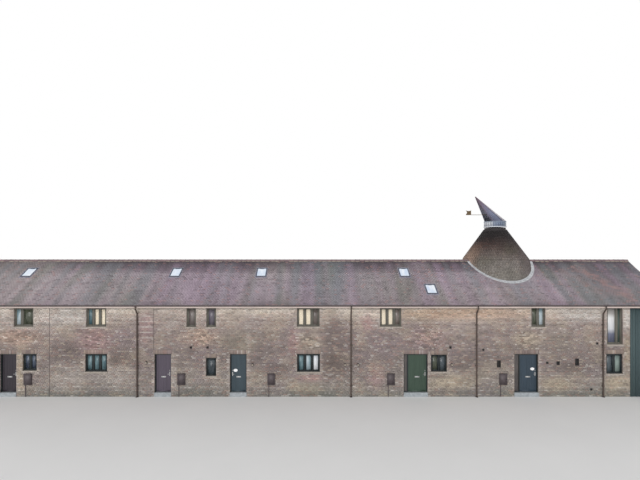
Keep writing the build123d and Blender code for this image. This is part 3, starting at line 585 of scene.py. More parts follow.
FASCIA_PAINT = worn_paint("fascia_paint", (208, 192, 184), (158, 144, 138), 0.7, (0.3, 2, 2))
ROOFLIGHT_METAL = worn_paint("rooflight_metal", (70, 76, 92), (110, 118, 130), 0.4, Metallic=0.2)
METER_PLASTIC = worn_paint("meter_plastic", (80, 71, 74), (112, 104, 104))
BLACK_METAL = worn_paint("black_metal", (24, 22, 23), (62, 54, 50))
LAMP_METAL = worn_paint("lamp_metal", (70, 62, 60), (104, 92, 84))
FITTINGS = worn_paint("fittings", (186, 186, 186), (130, 126, 120), 0.35, Metallic=0.5)
IRON = worn_paint("iron", (60, 54, 52), (104, 70, 52), 0.6, Metallic=0.3)
# Near black; on the curb and the lead under the cowl it is partly painted shade of the gap below the cowl.
CURB_PAINT = worn_paint("curb_paint", (34, 28, 30), (70, 60, 58), 0.7)
UNDER_ROOF = worn_paint("under_roof", (74, 66, 66), (104, 94, 90), 0.8)
LINING = worn_paint("kiln_lining", (150, 138, 120), (92, 78, 64), 0.85, (2, 2, 0.3))
BEAM = worn_paint("beam", (104, 84, 64), (70, 58, 46), 0.8, (0.3, 3, 3))
VANE_PAINT = worn_paint("vane_paint", (96, 78, 52), (60, 48, 38), 0.6)
PLATE_PAINT = worn_paint("plate_paint", (240, 240, 240), (206, 206, 204), 0.35, amount=0.2)
MASTIC = worn_paint("mastic", (84, 76, 74), (112, 102, 98), 0.8)
DOOR_COLOURS = (
    ((40, 34, 42), (74, 56, 60)), ((80, 72, 84), (110, 102, 112)), ((52, 66, 74), (84, 98, 106)),
    ((54, 72, 60), (88, 104, 88)), ((46, 60, 72), (80, 98, 106)),
)
DOOR_PAINTS = [
    worn_paint(f"door_paint_{number}", *colours, grain=(3, 3, 0.3)) for number, colours in enumerate(DOOR_COLOURS, 1)
]
# Looks of the panes: darker and lighter colour, and for some how solid and how streaked they are; the colours are
# painted reflections of the sky and painted shade of the rooms behind
GLASS_LOOKS = {
    "teal": ((70, 98, 106), (120, 146, 152)), "pale": ((132, 158, 166), (196, 208, 214)),
    "white": ((206, 212, 218), (240, 242, 246)), "dusk": ((108, 100, 98), (146, 138, 134)),
    "slate": ((60, 68, 74), (92, 102, 108)), "navy": ((44, 52, 68), (112, 124, 142), 0.9, 0.8),
    "sage": ((106, 122, 118), (142, 156, 150)), "violet": ((92, 88, 98), (126, 120, 130)),
    "olive": ((68, 74, 62), (98, 102, 88)), "green": ((60, 76, 72), (88, 104, 98)),
    "clear": ((210, 198, 176), (236, 226, 206), 0.14, 0.1), "brown": ((102, 94, 90), (134, 124, 118)),
    "umber": ((78, 74, 74), (104, 98, 96)), "lantern": ((188, 176, 160), (216, 206, 190), 1.0),
}
GLASS = {name: glass_finish(f"glass_{name}", *look) for name, look in GLASS_LOOKS.items()}
GLASS["banded"] = banded_glass()
# Rooflight glass in pale blue and white, a painted reflection of the sky.
ROOFLIGHT_GLASS = glass_finish("rooflight_glass", (206, 220, 240), (236, 242, 250), 1.0, 0.2)


def dress(node, *materials, second=None):
    """Gives a CAD node its finish, or two of them, the second one on the faces that second picks."""
    mesh = frame["nodes"][node].data
    mesh.materials.clear()
    for material in materials:
        mesh.materials.append(material)
    if second:
        for polygon in mesh.polygons:
            polygon.material_index = int(second(mesh, polygon))


# Walls
UPSTAIRS_FOOT = 2.7
FRAME_BOXES = islands("front_window_frames")
LOWER_BOXES = [box for box in FRAME_BOXES if box[1][2] < UPSTAIRS_FOOT]
UPPER_BOXES = [box for box in FRAME_BOXES if box[1][2] >= UPSTAIRS_FOOT]
SILL_BOXES = islands("front_window_sills")
DOOR_BOXES = islands("door_frames")
VENT_BOXES = islands("wall_vents")
BOARDING_LOW, BOARDING_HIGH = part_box("end_boarding")
# Colours of the walls up their height; the steep lightening from 4.2 m up to the wall top is painted light that
# offsets the shade under the eaves.
WALL_STOPS = colour_stops(
    (0.0, 128, 127, 122), (0.3, 146, 141, 136), (0.65, 158, 149, 144), (1.2, 154, 144, 140),
    (1.9, 140, 128, 125), (2.8, 146, 133, 130), (3.6, 158, 144, 140), (4.2, 178, 163, 157),
    (4.55, 212, 197, 188), (4.8, 240, 228, 216),
)
# Colours that the patches on the front and single bricks are picked from
CREAM, PINK, ORANGE, BROWN = shades((200, 184, 158), (182, 144, 144), (208, 174, 150), (104, 90, 88))
MAUVE, OLIVE, PALE, LIME = shades((146, 130, 136), (142, 136, 118), (192, 182, 176), (222, 216, 210))
BURNT, RED, BUFF = shades((104, 94, 92), (166, 126, 112), (196, 180, 160))
# Soft patches on the front: centre, reach, colour and strength; the pale ones along the top, under the eaves, are
# partly painted light that offsets the shade of the eaves
FRONT_PATCHES = (
    (-19.0, 4.2, 1.4, 1.0, CREAM, 0.6), (-16.0, 4.3, 3.0, 0.6, LIME, 0.4), (-11.0, 4.4, 1.2, 0.4, PALE, 0.5),
    (-10.7, 1.1, 0.9, 0.6, PALE, 0.6), (-13.3, 4.55, 1.2, 0.5, LIME, 0.9), (-7.9, 4.3, 0.4, 0.6, PALE, 0.5),
    (5.8, 4.6, 2.0, 0.4, CREAM, 0.5), (15.0, 4.6, 1.5, 0.4, LIME, 0.9), (-16.4, 3.3, 1.3, 0.5, ORANGE, 0.5),
    (-16.3, 1.3, 0.25, 1.2, CREAM, 0.7), (-13.6, 2.5, 0.7, 0.6, BROWN, 0.6), (-12.1, 3.1, 1.0, 0.7, PINK, 0.6),
    (-10.7, 2.1, 0.7, 0.4, BROWN, 0.6), (-10.6, 3.4, 0.9, 0.6, MAUVE, 0.5), (-13.6, 1.1, 1.1, 0.8, PALE, 0.5),
    (-9.2, 3.8, 0.5, 1.1, MAUVE, 0.5), (-7.75, 1.2, 0.16, 1.2, PALE, 0.7), (-6.3, 3.3, 1.1, 0.5, ORANGE, 0.4),
    (-4.1, 3.1, 1.3, 0.6, OLIVE, 0.5), (-3.6, 3.6, 0.14, 1.3, PALE, 0.6), (-2.9, 2.7, 0.2, 0.8, BROWN, 0.3),
    (-2.1, 1.55, 0.8, 0.3, BROWN, 0.6), (-1.1, 3.0, 0.3, 0.7, PINK, 0.7), (-0.2, 3.0, 0.7, 0.5, CREAM, 0.4),
    (-0.2, 1.05, 0.8, 0.25, PINK, 0.6), (-0.4, 0.5, 1.0, 0.3, CREAM, 0.4), (1.2, 3.4, 0.7, 1.2, BROWN, 0.6),
    (1.1, 1.75, 0.75, 0.8, BROWN, 0.8), (3.0, 4.1, 0.3, 0.5, PINK, 0.7), (3.9, 2.9, 1.1, 1.0, MAUVE, 0.5),
    (3.5, 1.1, 0.5, 0.7, PINK, 0.5), (8.6, 4.65, 3.8, 0.4, ORANGE, 0.8), (6.4, 3.3, 1.1, 0.7, PINK, 0.3),
    (8.3, 1.9, 0.6, 0.5, BROWN, 0.4), (7.5, 0.8, 1.3, 0.4, CREAM, 0.6), (11.9, 3.2, 0.9, 0.5, CREAM, 0.5),
    (13.7, 3.1, 0.8, 0.6, OLIVE, 0.3), (14.5, 1.6, 1.0, 0.3, BROWN, 0.6), (13.4, 0.7, 0.9, 0.4, CREAM, 0.6),
    (16.9, 0.8, 0.8, 0.45, CREAM, 0.7), (17.4, 4.4, 0.2, 0.7, LIME, 1.0), (17.4, 2.4, 0.2, 1.0, CREAM, 0.6),
)
# Stretches between the windows that were rebuilt with odd bricks: centre and reach
REBUILT = (
    (-16.4, 3.3, 1.3, 0.5), (-12.1, 3.1, 1.0, 0.6), (-6.3, 3.3, 1.1, 0.5),
    (-0.3, 3.0, 0.8, 0.6), (6.4, 3.2, 1.1, 0.7), (11.9, 3.2, 0.9, 0.5),
)
# Stretch beside a downpipe with a pale course after every third one
TOOTHED = (-9.33, 3.9, 0.4, 0.9)
# Straight joints between building periods: place along the front, foot and top
STRAIGHT_JOINTS = ((-14.65, 0, WALL_TOP), (-8.87, 2.4, WALL_TOP))


def rectangle(box):
    """Limits of a box seen from the front: left, right, foot and top."""
    return (box[0][0], box[1][0], box[0][2], box[1][2])


def without(units, holes):
    """Rectangles cut round rectangular holes, with slivers left out."""
    for left, right, foot, top in holes:
        kept = []
        for x0, x1, z0, z1 in units:
            if x1 <= left or x0 >= right or z1 <= foot or z0 >= top:
                kept.append((x0, x1, z0, z1))
                continue
            middle = (max(x0, left), min(x1, right))
            kept += [(x0, left, z0, z1), (right, x1, z0, z1), (*middle, z0, foot), (*middle, top, z1)]
        units = [u for u in kept if u[1] - u[0] > SMALLEST_CUT and u[3] - u[2] > SMALLEST_CUT]
    return units


def brick_courses(ends_at, top, holes):
    """Rectangles of all bricks of a wall; ends_at gives the ends of the wall at a height."""
    bricks = []
    for course in range(int(top / BRICK_COURSE) + 1):
        foot = course * BRICK_COURSE + BRICK_JOINT
        head = min(foot + BRICK_COURSE - BRICK_JOINT, top)
        start, end = ends_at(head)
        if head - foot < SMALLEST_CUT or end - start < SMALLEST_CUT:
            continue
        header = course % HEADER_EVERY == HEADER_EVERY - 1
        length = BRICK_LENGTH / 2 if header else BRICK_LENGTH
        shift = BRICK_LENGTH / 4 if header else (course % 2) * BRICK_LENGTH / 2
        edges = np.arange(math.floor((start + shift) / length), math.ceil((end + shift) / length)) * length - shift
        spans = [(max(x, start), min(x + length - BRICK_JOINT, end)) for x in edges]
        units = [(left, right, foot, head) for left, right in spans if right - left > SMALLEST_CUT]
        bricks += without(units, [hole for hole in holes if hole[2] < head and hole[3] > foot])
    return np.array(bricks)


def beside(x, z, openings):
    """Weight of the paler bricks close beside and around openings."""
    weight = np.zeros(len(x))
    for left, right, foot, top in openings:
        away = np.maximum(np.maximum(left - x, x - right), np.maximum(foot - z, z - top))
        weight = np.maximum(weight, away < HALO_REACH)
    return weight


def brick_colours(bricks, patches=(), openings=()):
    """Colour of each brick from its place on the wall and a seeded choice, lightened near the wall top by painted
    light that offsets the shade of the eaves.
    """
    x, z = bricks[:, :2].mean(1), bricks[:, 2:].mean(1)
    colours = blended(
        by_height(z + 0.2 * cloud(x, z, 2.4), WALL_STOPS),
        (MAUVE, 0.35 * cloud(x, z, 1.3)),
        (CREAM, 0.25 * cloud(x, z, 1.0)),
        *patch_layers(x, z, patches),
        (PALE, 0.75 * beside(x, z, openings) * rng.random(len(x)) ** 0.5),
    )
    pick = rng.random(len(x))
    headers = (bricks[:, 1] - bricks[:, 0] < 0.6 * BRICK_LENGTH) * 0.06
    level = np.round(z / BRICK_COURSE).astype(int)
    odd = toothed = np.zeros(len(x))
    if patches:
        odd = np.max([patch(x, z, *oval) for oval in REBUILT], axis=0)
        toothed = patch(x, z, *TOOTHED)
    colours = blended(
        colours,
        (BURNT, 0.35 * (pick < 0.10 + headers)),
        (RED, 0.30 * ((pick > 0.30) & (pick < 0.44))),
        (BUFF, 0.35 * (pick > 0.88)),
        (LIME, 0.35 * ((pick > 0.5) & (pick < 0.55))),
        (PINK, 0.4 * toothed),
        (LIME, 0.6 * toothed * (level % 4 == 0)),
    )
    course = 1 + 0.05 * rng.standard_normal(level.max() + 1)[level]
    own = rng.uniform(0.88, 1.12, len(x)) + 0.28 * odd * rng.standard_normal(len(x)).clip(-1.2, 1.5)
    mottled = 1 + 0.10 * cloud(x, 1.4 * z, 0.4) + 0.08 * cloud(0.25 * x, 1.5 * z, 0.4)
    return colours * (own * course * mottled)[:, None]


def lay_bricks(name, bricks, colours, face, outwards, across=False):
    """Bricks on a wall face, which runs along X, or along Y if it is one across the range."""
    out = face + outwards * BRICK_PROUD * rng.uniform(0.6, 1.0, len(bricks))
    depth = (np.minimum(face, out), np.maximum(face, out))
    length, height = bricks.T[:2], bricks.T[2:]
    limits = (depth, length, height) if across else (length, depth, height)
    box_piece(name, box_corners(*limits), BRICK, "brick", colours)


def soldier_head(left, right, foot):
    """Upright bricks over an opening, and the hole that they need in the courses."""
    count = round((right - left + 0.1) / BRICK_COURSE)
    start = (left + right) / 2 - count * BRICK_COURSE / 2
    top = foot + SOLDIER_HEIGHT
    bricks = [(x, x + BRICK_COURSE - BRICK_JOINT, foot + 0.004, top) for x in start + np.arange(count) * BRICK_COURSE]
    return bricks, (start - BRICK_JOINT, start + count * BRICK_COURSE, foot - 0.05, top + BRICK_JOINT)


def front_bricks():
    """Brick face of the front wall round its windows, doors and vents."""
    openings = [*map(rectangle, FRAME_BOXES)]
    openings += [(left, right, 0, top) for left, right, _, top in map(rectangle, DOOR_BOXES)]
    holes = openings + [*map(rectangle, SILL_BOXES + VENT_BOXES)]
    holes += [(*around(x, JOINT_WIDTH / 2), foot, top) for x, foot, top in STRAIGHT_JOINTS]
    heads = []
    for left, right, _, top in map(rectangle, LOWER_BOXES + DOOR_BOXES):
        bricks, hole = soldier_head(left, right, top)
        heads += without(bricks, [*map(rectangle, UPPER_BOXES + SILL_BOXES)])
        holes.append(hole)
    courses, heads = brick_courses(lambda height: (LEFT_END, BOARDING_LOW.x), WALL_TOP, holes), np.array(heads)
    plain = brick_colours(courses, FRONT_PATCHES, openings)
    upright = blended(brick_colours(heads, FRONT_PATCHES), (RED, np.full(len(heads), 0.12)))
    lay_bricks("front_brickwork", np.concatenate([courses, heads]), np.concatenate([plain, upright]), FRONT, -1)


def rear_bricks():
    """Brick face of the rear wall round its windows."""
    openings = [*map(rectangle, islands("rear_window_frames"))]
    holes = openings + [*map(rectangle, islands("rear_window_sills"))]
    bricks = brick_courses(lambda height: (LEFT_END, RIGHT_END), WALL_TOP, holes)
    lay_bricks("rear_brickwork", bricks, brick_colours(bricks, (), openings), REAR, 1)


def gable_bricks():
    """Brick faces of both end walls, clipped to the rake of the roof."""
    top = RIDGE - SLAB_PLUMB
    for side, face, outwards in (("left", LEFT_END, -1), ("right", RIGHT_END, 1)):
        bricks = brick_courses(lambda height: around(0, min((top - height) / math.tan(PITCH), REAR)), top, [])
        lay_bricks(f"{side}_gable_brickwork", bricks, brick_colours(bricks), face, outwards, across=True)


def reveal_bricks():
    """Brick linings of the sides of every front opening, as deep as the frame is set back."""
    rows = []
    for box in FRAME_BOXES + DOOR_BOXES:
        left, right, foot, top = rectangle(box)
        levels = np.arange(math.ceil(foot / BRICK_COURSE), int(top / BRICK_COURSE)) * BRICK_COURSE + BRICK_JOINT
        heights = (levels, levels + BRICK_COURSE - BRICK_JOINT)
        for side in ((left, left + REVEAL_THICK), (right - REVEAL_THICK, right)):
            rows.append(box_corners(side, (FRONT - 0.004, box[0][1] - 0.002), heights))
    boxes = np.concatenate(rows)
    low, high = boxes.min(1), boxes.max(1)
    places = np.stack([low[:, 0], high[:, 0], low[:, 2], high[:, 2]], axis=1)
    box_piece("reveal_brickwork", boxes, BRICK, "brick", brick_colours(places, FRONT_PATCHES))


def straight_joints():
    """Dark pointing in the straight joints of the front."""
    boxes = [
        box_corners(around(x, JOINT_WIDTH / 2), (FRONT - 0.003, FRONT), (foot, top))
        for x, foot, top in STRAIGHT_JOINTS
    ]
    box_piece("straight_joints", boxes, MASTIC, "brick")


def is_inside(mesh, polygon):
    """True for a wall face that looks into the rooms."""
    corners = [mesh.vertices[index].co for index in polygon.vertices]
    return all(abs(p.x) < INNER_END + 1e-3 and abs(p.y) < INNER_REAR + 1e-3 for p in corners)


front_bricks()
rear_bricks()
gable_bricks()
reveal_bricks()
straight_joints()
for node in ("walls_over_doors", "rear_wall", "party_wall_left", "party_wall_right"):
    dress(node, MORTAR, PLASTER, second=is_inside)
for number in range(1, 7):
    dress(f"front_wall_{number}", MORTAR, PLASTER, second=is_inside)
dress("upper_floor", FLOOR_BOARDS, PLASTER, second=lambda mesh, polygon: polygon.normal.z < -0.5)

# Roof, with places given along the front and down the slope from the ridge
# Colours down the slope; the dark first stops, just under the ridge, are painted shade of the ridge capping, and the
# roof stays darker down to about 1.2 m.
ROOF_STOPS = colour_stops(
    (0.0, 76, 66, 70), (0.19, 76, 66, 70), (0.24, 74, 66, 71), (0.5, 88, 78, 86), (0.95, 106, 95, 103),
    (1.2, 130, 119, 126), (1.4, 158, 147, 154), (2.2, 163, 151, 159), (3.3, 161, 149, 156), (3.9, 152, 139, 145),
    (4.1, 122, 111, 117),
)
MOSS, SLATE_GREY, WARM, LILAC = shades((118, 122, 102), (126, 130, 136), (168, 158, 156), (160, 140, 158))
REDDISH, RED_TILE, DARK_TILE = shades((168, 128, 124), (170, 138, 134), (92, 84, 88))
ROOF_PATCHES = (
    (-18.0, 2.2, 3.2, 2.6, WARM, 0.7), (-13.6, 1.3, 1.6, 1.0, SLATE_GREY, 0.25),
    (-13.6, 2.6, 4.4, 1.7, shade(176, 164, 168), 0.55), (-10.5, 2.8, 2.4, 1.2, MOSS, 0.25),
    (-6.6, 2.6, 3.2, 1.9, LILAC, 0.4), (-2.4, 1.3, 1.5, 1.0, WARM, 0.4), (0.6, 1.2, 1.8, 2.6, SLATE_GREY, 0.6),
    (4.6, 2.6, 2.4, 1.6, MOSS, 0.3), (6.6, 1.2, 1.1, 1.2, LILAC, 0.4), (9.6, 3.3, 2.6, 0.9, WARM, 0.4),
    (14.2, 1.4, 0.8, 0.8, MOSS, 0.5), (17.8, 1.2, 2.6, 1.9, shade(98, 90, 96), 0.75),
    (18.6, 3.2, 1.6, 0.8, shade(130, 118, 114), 0.6), (15.6, 2.9, 1.2, 1.4, shade(120, 122, 116), 0.6),
    (17.4, 3.7, 2.2, 0.5, shade(116, 120, 120), 0.6),
)
# Bands of newer red tiles that fall away to the right of the kiln: start, end and strength
RED_BANDS = (((16.2, 0.6), (17.8, 3.5), 1.0), ((15.2, 0.9), (16.5, 3.2), 0.45))
RED_BAND_WIDTH = 0.42
# Colours up the kiln; the near black of the top courses, just under the cowl, is painted shade of the cowl and the gap
# beneath it.
KILN_STOPS = colour_stops(
    (6.3, 142, 136, 130), (7.2, 130, 123, 118), (7.6, 114, 104, 99), (8.1, 84, 73, 69), (8.5, 54, 44, 42),
    (8.9, 30, 23, 24), (9.4, 20, 15, 17),
)
KILN_RED, KILN_PURPLE, KILN_GREEN = shades((118, 76, 68), (78, 60, 68), (98, 100, 80))
# The first of these colours is a painted highlight of warm light along the kiln's left limb.
KILN_LIMB_HIGHLIGHT, KILN_BUFF = shades((206, 168, 146), (132, 118, 104))
KILN_DARKENS, KILN_BLACK = 7.6, 8.9
RIDGE_STRETCHES = sorted({(round(low[0], 3), round(high[0], 3)) for low, high in islands("ridge_tiles")})


def tile_courses(slope, holes_at):
    """Rectangles of all tiles of a slope: left, right, and how far down from the ridge."""
    tiles = []
    for course in range(math.ceil(slope / TILE_GAUGE)):
        tail = slope - course * TILE_GAUGE
        head = max(tail - TILE_GAUGE, 0)
        shift = TILE_WIDTH * (course % 2 / 2 + rng.uniform(0, 0.3))
        edges = np.arange(ROOF_LEFT - shift, ROOF_RIGHT + TILE_WIDTH, TILE_WIDTH)
        edges = np.clip(edges + rng.uniform(-TILE_WANDER, TILE_WANDER, len(edges)), ROOF_LEFT, ROOF_RIGHT)
        pairs = zip(edges, edges[1:] - TILE_GAP)
        units = [(start, end, head, tail) for start, end in pairs if end - start > SMALLEST_CUT]
        tiles += without(units, holes_at(head, tail))
    return np.array(tiles)


def on_slope(x, down, lift, side=-1):
    """Point on a slope; side is -1 for the front and 1 for the rear."""
    y = side * (down * math.cos(PITCH) + lift * math.sin(PITCH))
    z = RIDGE - down * math.sin(PITCH) + lift * math.cos(PITCH)
    return np.stack(np.broadcast_arrays(x, y, z), axis=-1)


def slope_boxes(x_limits, down_limits, lift_limits):
    """Boxes that lie on the front slope."""
    return on_slope(*np.moveaxis(box_corners(x_limits, down_limits[::-1], lift_limits), -1, 0))


def kiln_radius(z):
    """Outer radius of the kiln's tiling at a height, without a step between drum and cone."""
    share = (z - CONE_LOW.z) / (CONE_HIGH.z - CONE_LOW.z)
    cone = CONE_FOOT_RADIUS + share * (CONE_TOP_RADIUS - CONE_FOOT_RADIUS)
    return cone if z > CONE_LOW.z else drum_radius(z) + CONE_FOOT_RADIUS - DRUM_TOP_RADIUS


def kiln_hole(head, tail, side):
    """Stretch of a tile course that the kiln and its flashing take up."""
    y = side * (head + tail) / 2 * math.cos(PITCH)
    radius = kiln_radius(roof_top(y)) + FLASHING_MARGIN
    if abs(y - KILN_Y) >= radius:
        return []
    return [(*around(KILN_X, math.sqrt(radius ** 2 - (y - KILN_Y) ** 2)), head - 1, tail + 1)]


def rooflight_places():
    """Rectangle on the front slope of each rooflight: left, right, and how far down from the ridge."""
    points = vertices("rooflight_frames")
    places = []
    for low, high in islands("rooflight_frames"):
        own = points[(points >= low - 1e-4).all(1) & (points <= high + 1e-4).all(1)]
        down = -own[:, 1] * math.cos(PITCH) + (RIDGE - own[:, 2]) * math.sin(PITCH)
        places.append((low[0], high[0], down.min(), down.max()))
    return places


ROOFLIGHTS = rooflight_places()


def tile_colours(x, down, patches):
    """Colour of each tile from its place on the slope and a seeded choice, with painted shade just under the ridge."""
    colours = by_height(down + 0.08 * cloud(x, down, 3.0), ROOF_STOPS)
    shown = np.clip((down - 0.2) / 0.3, 0, 1)
    streaks = cloud(x, down * 0.06, 0.8)
    colours = blended(
        colours,
        *patch_layers(x, down, patches),
        (SLATE_GREY, 0.5 * shown * streaks),
        (LILAC, -0.4 * shown * streaks),
        (MOSS, 0.35 * shown * (cloud(x, 0.2 * down, 1.1) - 0.25)),
    )
    pick = rng.random(len(x))
    colours = blended(colours, (DARK_TILE, 0.4 * (pick < 0.08)), (REDDISH, 0.35 * (pick > 0.94)))
    level = np.round(down / TILE_GAUGE).astype(int)
    course = 1 + 0.03 * rng.standard_normal(level.max() + 1)[level]
    mottled = 1 + 0.05 * cloud(x, down, 0.5) + 0.10 * cloud(x, down * 0.08, 0.3)
    return colours * (course * mottled * rng.uniform(0.93, 1.07, len(x)))[:, None]


def red_band(x, down):
    """Weight of the bands of newer red tiles at a place on the front slope."""
    weight = np.zeros(len(x))
    for start, end, strength in RED_BANDS:
        line = np.array(end) - start
        along = ((x - start[0]) * line[0] + (down - start[1]) * line[1]) / (line @ line)
        across = ((x - start[0]) * line[1] - (down - start[1]) * line[0]) / math.sqrt(line @ line)
        inside = (along > 0) & (along < 1.1)
        weight = np.maximum(weight, strength * inside * np.exp(-(across / RED_BAND_WIDTH) ** 2))
    return weight


def slope_tiles(name, side):
    """Tiles of one slope, each lying on the slab and lapping over the next course down."""
    rooflights = ROOFLIGHTS if side < 0 else []

    def holes_at(head, tail):
        near = [hole for hole in rooflights if hole[2] < tail and hole[3] > head]
        return near + kiln_hole(head, tail, side)

    left, right, head, tail = tile_courses(SLOPE_LENGTH + EAVES_OVERHANG, holes_at).T
    middle = (left + right) / 2
    colours = tile_colours(middle, tail, ROOF_PATCHES if side < 0 else ())
    if side < 0:
        blotchy = np.clip(0.6 + 0.6 * cloud(middle, tail, 0.35), 0.1, 1)
        colours = blended(colours, (RED_TILE, 0.6 * red_band(middle, tail) * blotchy))
    top = np.maximum(head - TILE_LAP, 0)
    at_tail = TILE_TAIL_LIFT + rng.uniform(-0.002, 0.004, len(head))
    at_top = at_tail * (1 - (tail - top) / TILE_GAUGE)
    corners = ((left, tail, at_tail), (right, tail, at_tail), (right, top, at_top), (left, top, at_top))
    boxes = [on_slope(x, down, lift + rise, side) for rise in (0, TILE_THICK) for x, down, lift in corners]
    box_piece(name, np.stack(boxes, axis=1), TILE, "roof_tile", colours, flipped=side > 0)


def kiln_colours(angles, heights):
    """Colour of each kiln tile: dark at the top, near black under the cowl as painted shade, reddish on the left with
    a painted highlight along the left limb, purple on the right.
    """
    colours = by_height(heights + 0.12 * cloud(angles, heights, 0.8), KILN_STOPS)
    right = np.cos(angles)
    high = np.clip(heights - KILN_DARKENS, 0, 1)
    below_black = np.clip((KILN_BLACK - heights) / 0.8, 0, 1)
    colours = blended(
        colours,
        (KILN_RED, 0.4 * high * below_black * np.clip(0.2 - right, 0, 1) * rng.random(len(angles))),
        # Painted highlight of warm light along the left limb
        (KILN_LIMB_HIGHLIGHT, 0.55 * (1 - high) * (-right - 0.8) / 0.2),
        (KILN_PURPLE, 0.6 * right * below_black),
        (KILN_GREEN, 0.35 * (1 - high) * cloud(angles, heights, 0.9)),
        (KILN_BUFF, 0.3 * (rng.random(len(angles)) > 0.92) * (1 - high)),
    )
    mottled = 1 + 0.10 * cloud(3 * angles, 0.5 * heights, 0.5)
    return colours * (mottled * rng.uniform(0.84, 1.16, len(angles)))[:, None]


def kiln_tiles():
    """Tiles in level rings up the drum and the cone, cut to the slope of the roof at the foot."""
    height = CONE_HIGH.z - DRUM_LOW.z
    courses = math.ceil(height / TILE_GAUGE)
    gauge = height / courses
    rows, places = [], []
    for course in range(courses):
        tail = DRUM_LOW.z + course * gauge
        head = min(tail + gauge + TILE_LAP, CONE_HIGH.z)
        outer, inner = kiln_radius(tail) + TILE_TAIL_LIFT, kiln_radius(head)
        count = math.ceil(2 * math.pi * outer / TILE_WIDTH)
        step = 2 * math.pi / count
        start = (np.arange(count) + 0.5 * (course % 2) + rng.uniform(-0.05, 0.05, count)) * step
        end = start + step * (1 - TILE_GAP / TILE_WIDTH)
        ends = ((outer, start, tail), (outer, end, tail), (inner, end, head), (inner, start, head))
        corners, above = [], []
        for radius, angle, z in [(r + rise, a, z) for rise in (0, TILE_THICK) for r, a, z in ends]:
            x, y = KILN_X + radius * np.cos(angle), KILN_Y + radius * np.sin(angle)
            ground = roof_top(y) + KILN_TILE_CUT
            above.append(z - ground)
            corners.append(np.stack([x, y, np.maximum(z, ground)], axis=-1))
        whole = np.max(above, axis=0) > KILN_TILE_SMALLEST
        rows.append(np.stack(corners, axis=1)[whole])
        places.append(np.stack([start, np.full(count, tail)], axis=1)[whole])
    box_piece("kiln_tiles", rows, TILE, "roof_tile", kiln_colours(*np.concatenate(places).T))


def ridge_tiles():
    """Ridge tiles on both sides of the kiln, each with a raised lip, bedded in mortar."""
    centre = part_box("ridge_tiles")[1].z - RIDGE_RADIUS
    angles = np.linspace(0, math.pi, 13)
    profile = ((0, -0.006), (0, 0), (0.12, 0), (0.13, -0.007), (0.985, -0.009), (0.985, -0.018))
    grids = []
    for start, end in RIDGE_STRETCHES:
        count = round((end - start) / RIDGE_TILE_LENGTH)
        for number in range(count):
            foot = centre + rng.uniform(-0.004, 0)
            step = (end - start) / count
            rings = [(start + (number + share) * step, RIDGE_RADIUS + grow) for share, grow in profile]
            grids.append([[(x, r * math.cos(a), foot + r * math.sin(a)) for a in angles] for x, r in rings])
    pick = rng.random(len(grids))
    light, dark = shades((134, 112, 114), (104, 92, 98))
    colours = blended(np.tile(light, (len(grids), 1)), (dark, 0.6 * pick)) * rng.uniform(0.9, 1.1, (len(grids), 1))
    grid_piece("ridge_capping", grids, TILE, "roof_tile", closed=False, colours=colours, replaces=("ridge_tiles",))


def ridge_bedding():
    """Mortar fillets that the ridge tiles are bedded on."""
    rows = []
    for start, end in RIDGE_STRETCHES:
        edges = np.linspace(start, end, max(round((end - start) / RIDGE_TILE_LENGTH), 1) + 1)
        out = rng.uniform(0.118, 0.128, len(edges) - 1)
        for y in ((-out, -0.09), (0.09, out)):
            rows.append(box_corners((edges[:-1], edges[1:]), y, (RIDGE - 0.075, RIDGE - 0.042)))
    box_piece("ridge_bedding", rows, MORTAR, "roof_tile")


def kiln_flashing():
    """Lead sheet round the foot of the drum, over the tiles and up under the kiln's tiling."""
    section = (
        (0.004, 0.12), (0.040, 0.11), (0.05, 0.042), (0.18, 0.036), (0.200, 0.042), (0.212, 0.030), (0.20, 0.018),
        (0.03, 0.014),
    )
    rings = []
    for angle in np.linspace(0, 2 * math.pi, 129):
        ring = []
        for out, lift in section:
            # A few rounds find where the drum meets the slope, from its radius just under the ridge
            radius = drum_radius(7.0) + out
            for _ in range(4):
                y = KILN_Y + radius * math.sin(angle)
                radius = drum_radius(min(roof_top(y) + lift, DRUM_HIGH.z)) + out
            y = KILN_Y + radius * math.sin(angle)
            ring.append((KILN_X + radius * math.cos(angle), y, roof_top(y) + lift))
        rings.append(ring)
    grid_piece("kiln_lead", [rings], LEAD, "lead", replaces=("kiln_flashing",))


def rooflight_trims():
    """Lead aprons round the rooflights and dark sashes over their curbs."""
    aprons, sashes = [], []
    for left, right, head, foot in ROOFLIGHTS:
        outer_left, outer_right = left - APRON_SIDE, right + APRON_SIDE
        inner_left, inner_right = left + ROOF_SASH, right - ROOF_SASH
        tall = (head - APRON_HEAD, foot)
        for x, down in (((outer_left, left), tall), ((right, outer_right), tall), ((left, right), (tall[0], head))):
            aprons.append(slope_boxes(x, down, (0, APRON_THICK)))
        pleats = np.linspace(outer_left, outer_right, APRON_PLEATS + 1)
        lifts = np.where(np.arange(APRON_PLEATS) % 2, 0.026, 0.030)
        aprons.append(slope_boxes((pleats[:-1], pleats[1:]), (foot, foot + APRON_FOOT), (0, lifts)))
        for x, down in (
            ((left, inner_left), (head, foot)), ((inner_right, right), (head, foot)),
            ((inner_left, inner_right), (head, head + 0.07)), ((inner_left, inner_right), (foot - ROOF_SASH, foot)),
        ):
            sashes.append(slope_boxes(x, down, (0.035, 0.042)))
        sashes.append(slope_boxes(around((left + right) / 2, 0.12), (head + 0.075, head + 0.095), (0.026, 0.034)))
    box_piece("rooflight_aprons", aprons, GREY_LEAD, "lead")
    box_piece("rooflight_sashes", sashes, ROOFLIGHT_METAL, "rooflight_metal")


def is_verge(mesh, polygon):
    """Whether a face of a roof slab is its outer end."""
    return abs(polygon.center.x) > RIGHT_END and abs(polygon.normal.x) > 0.9


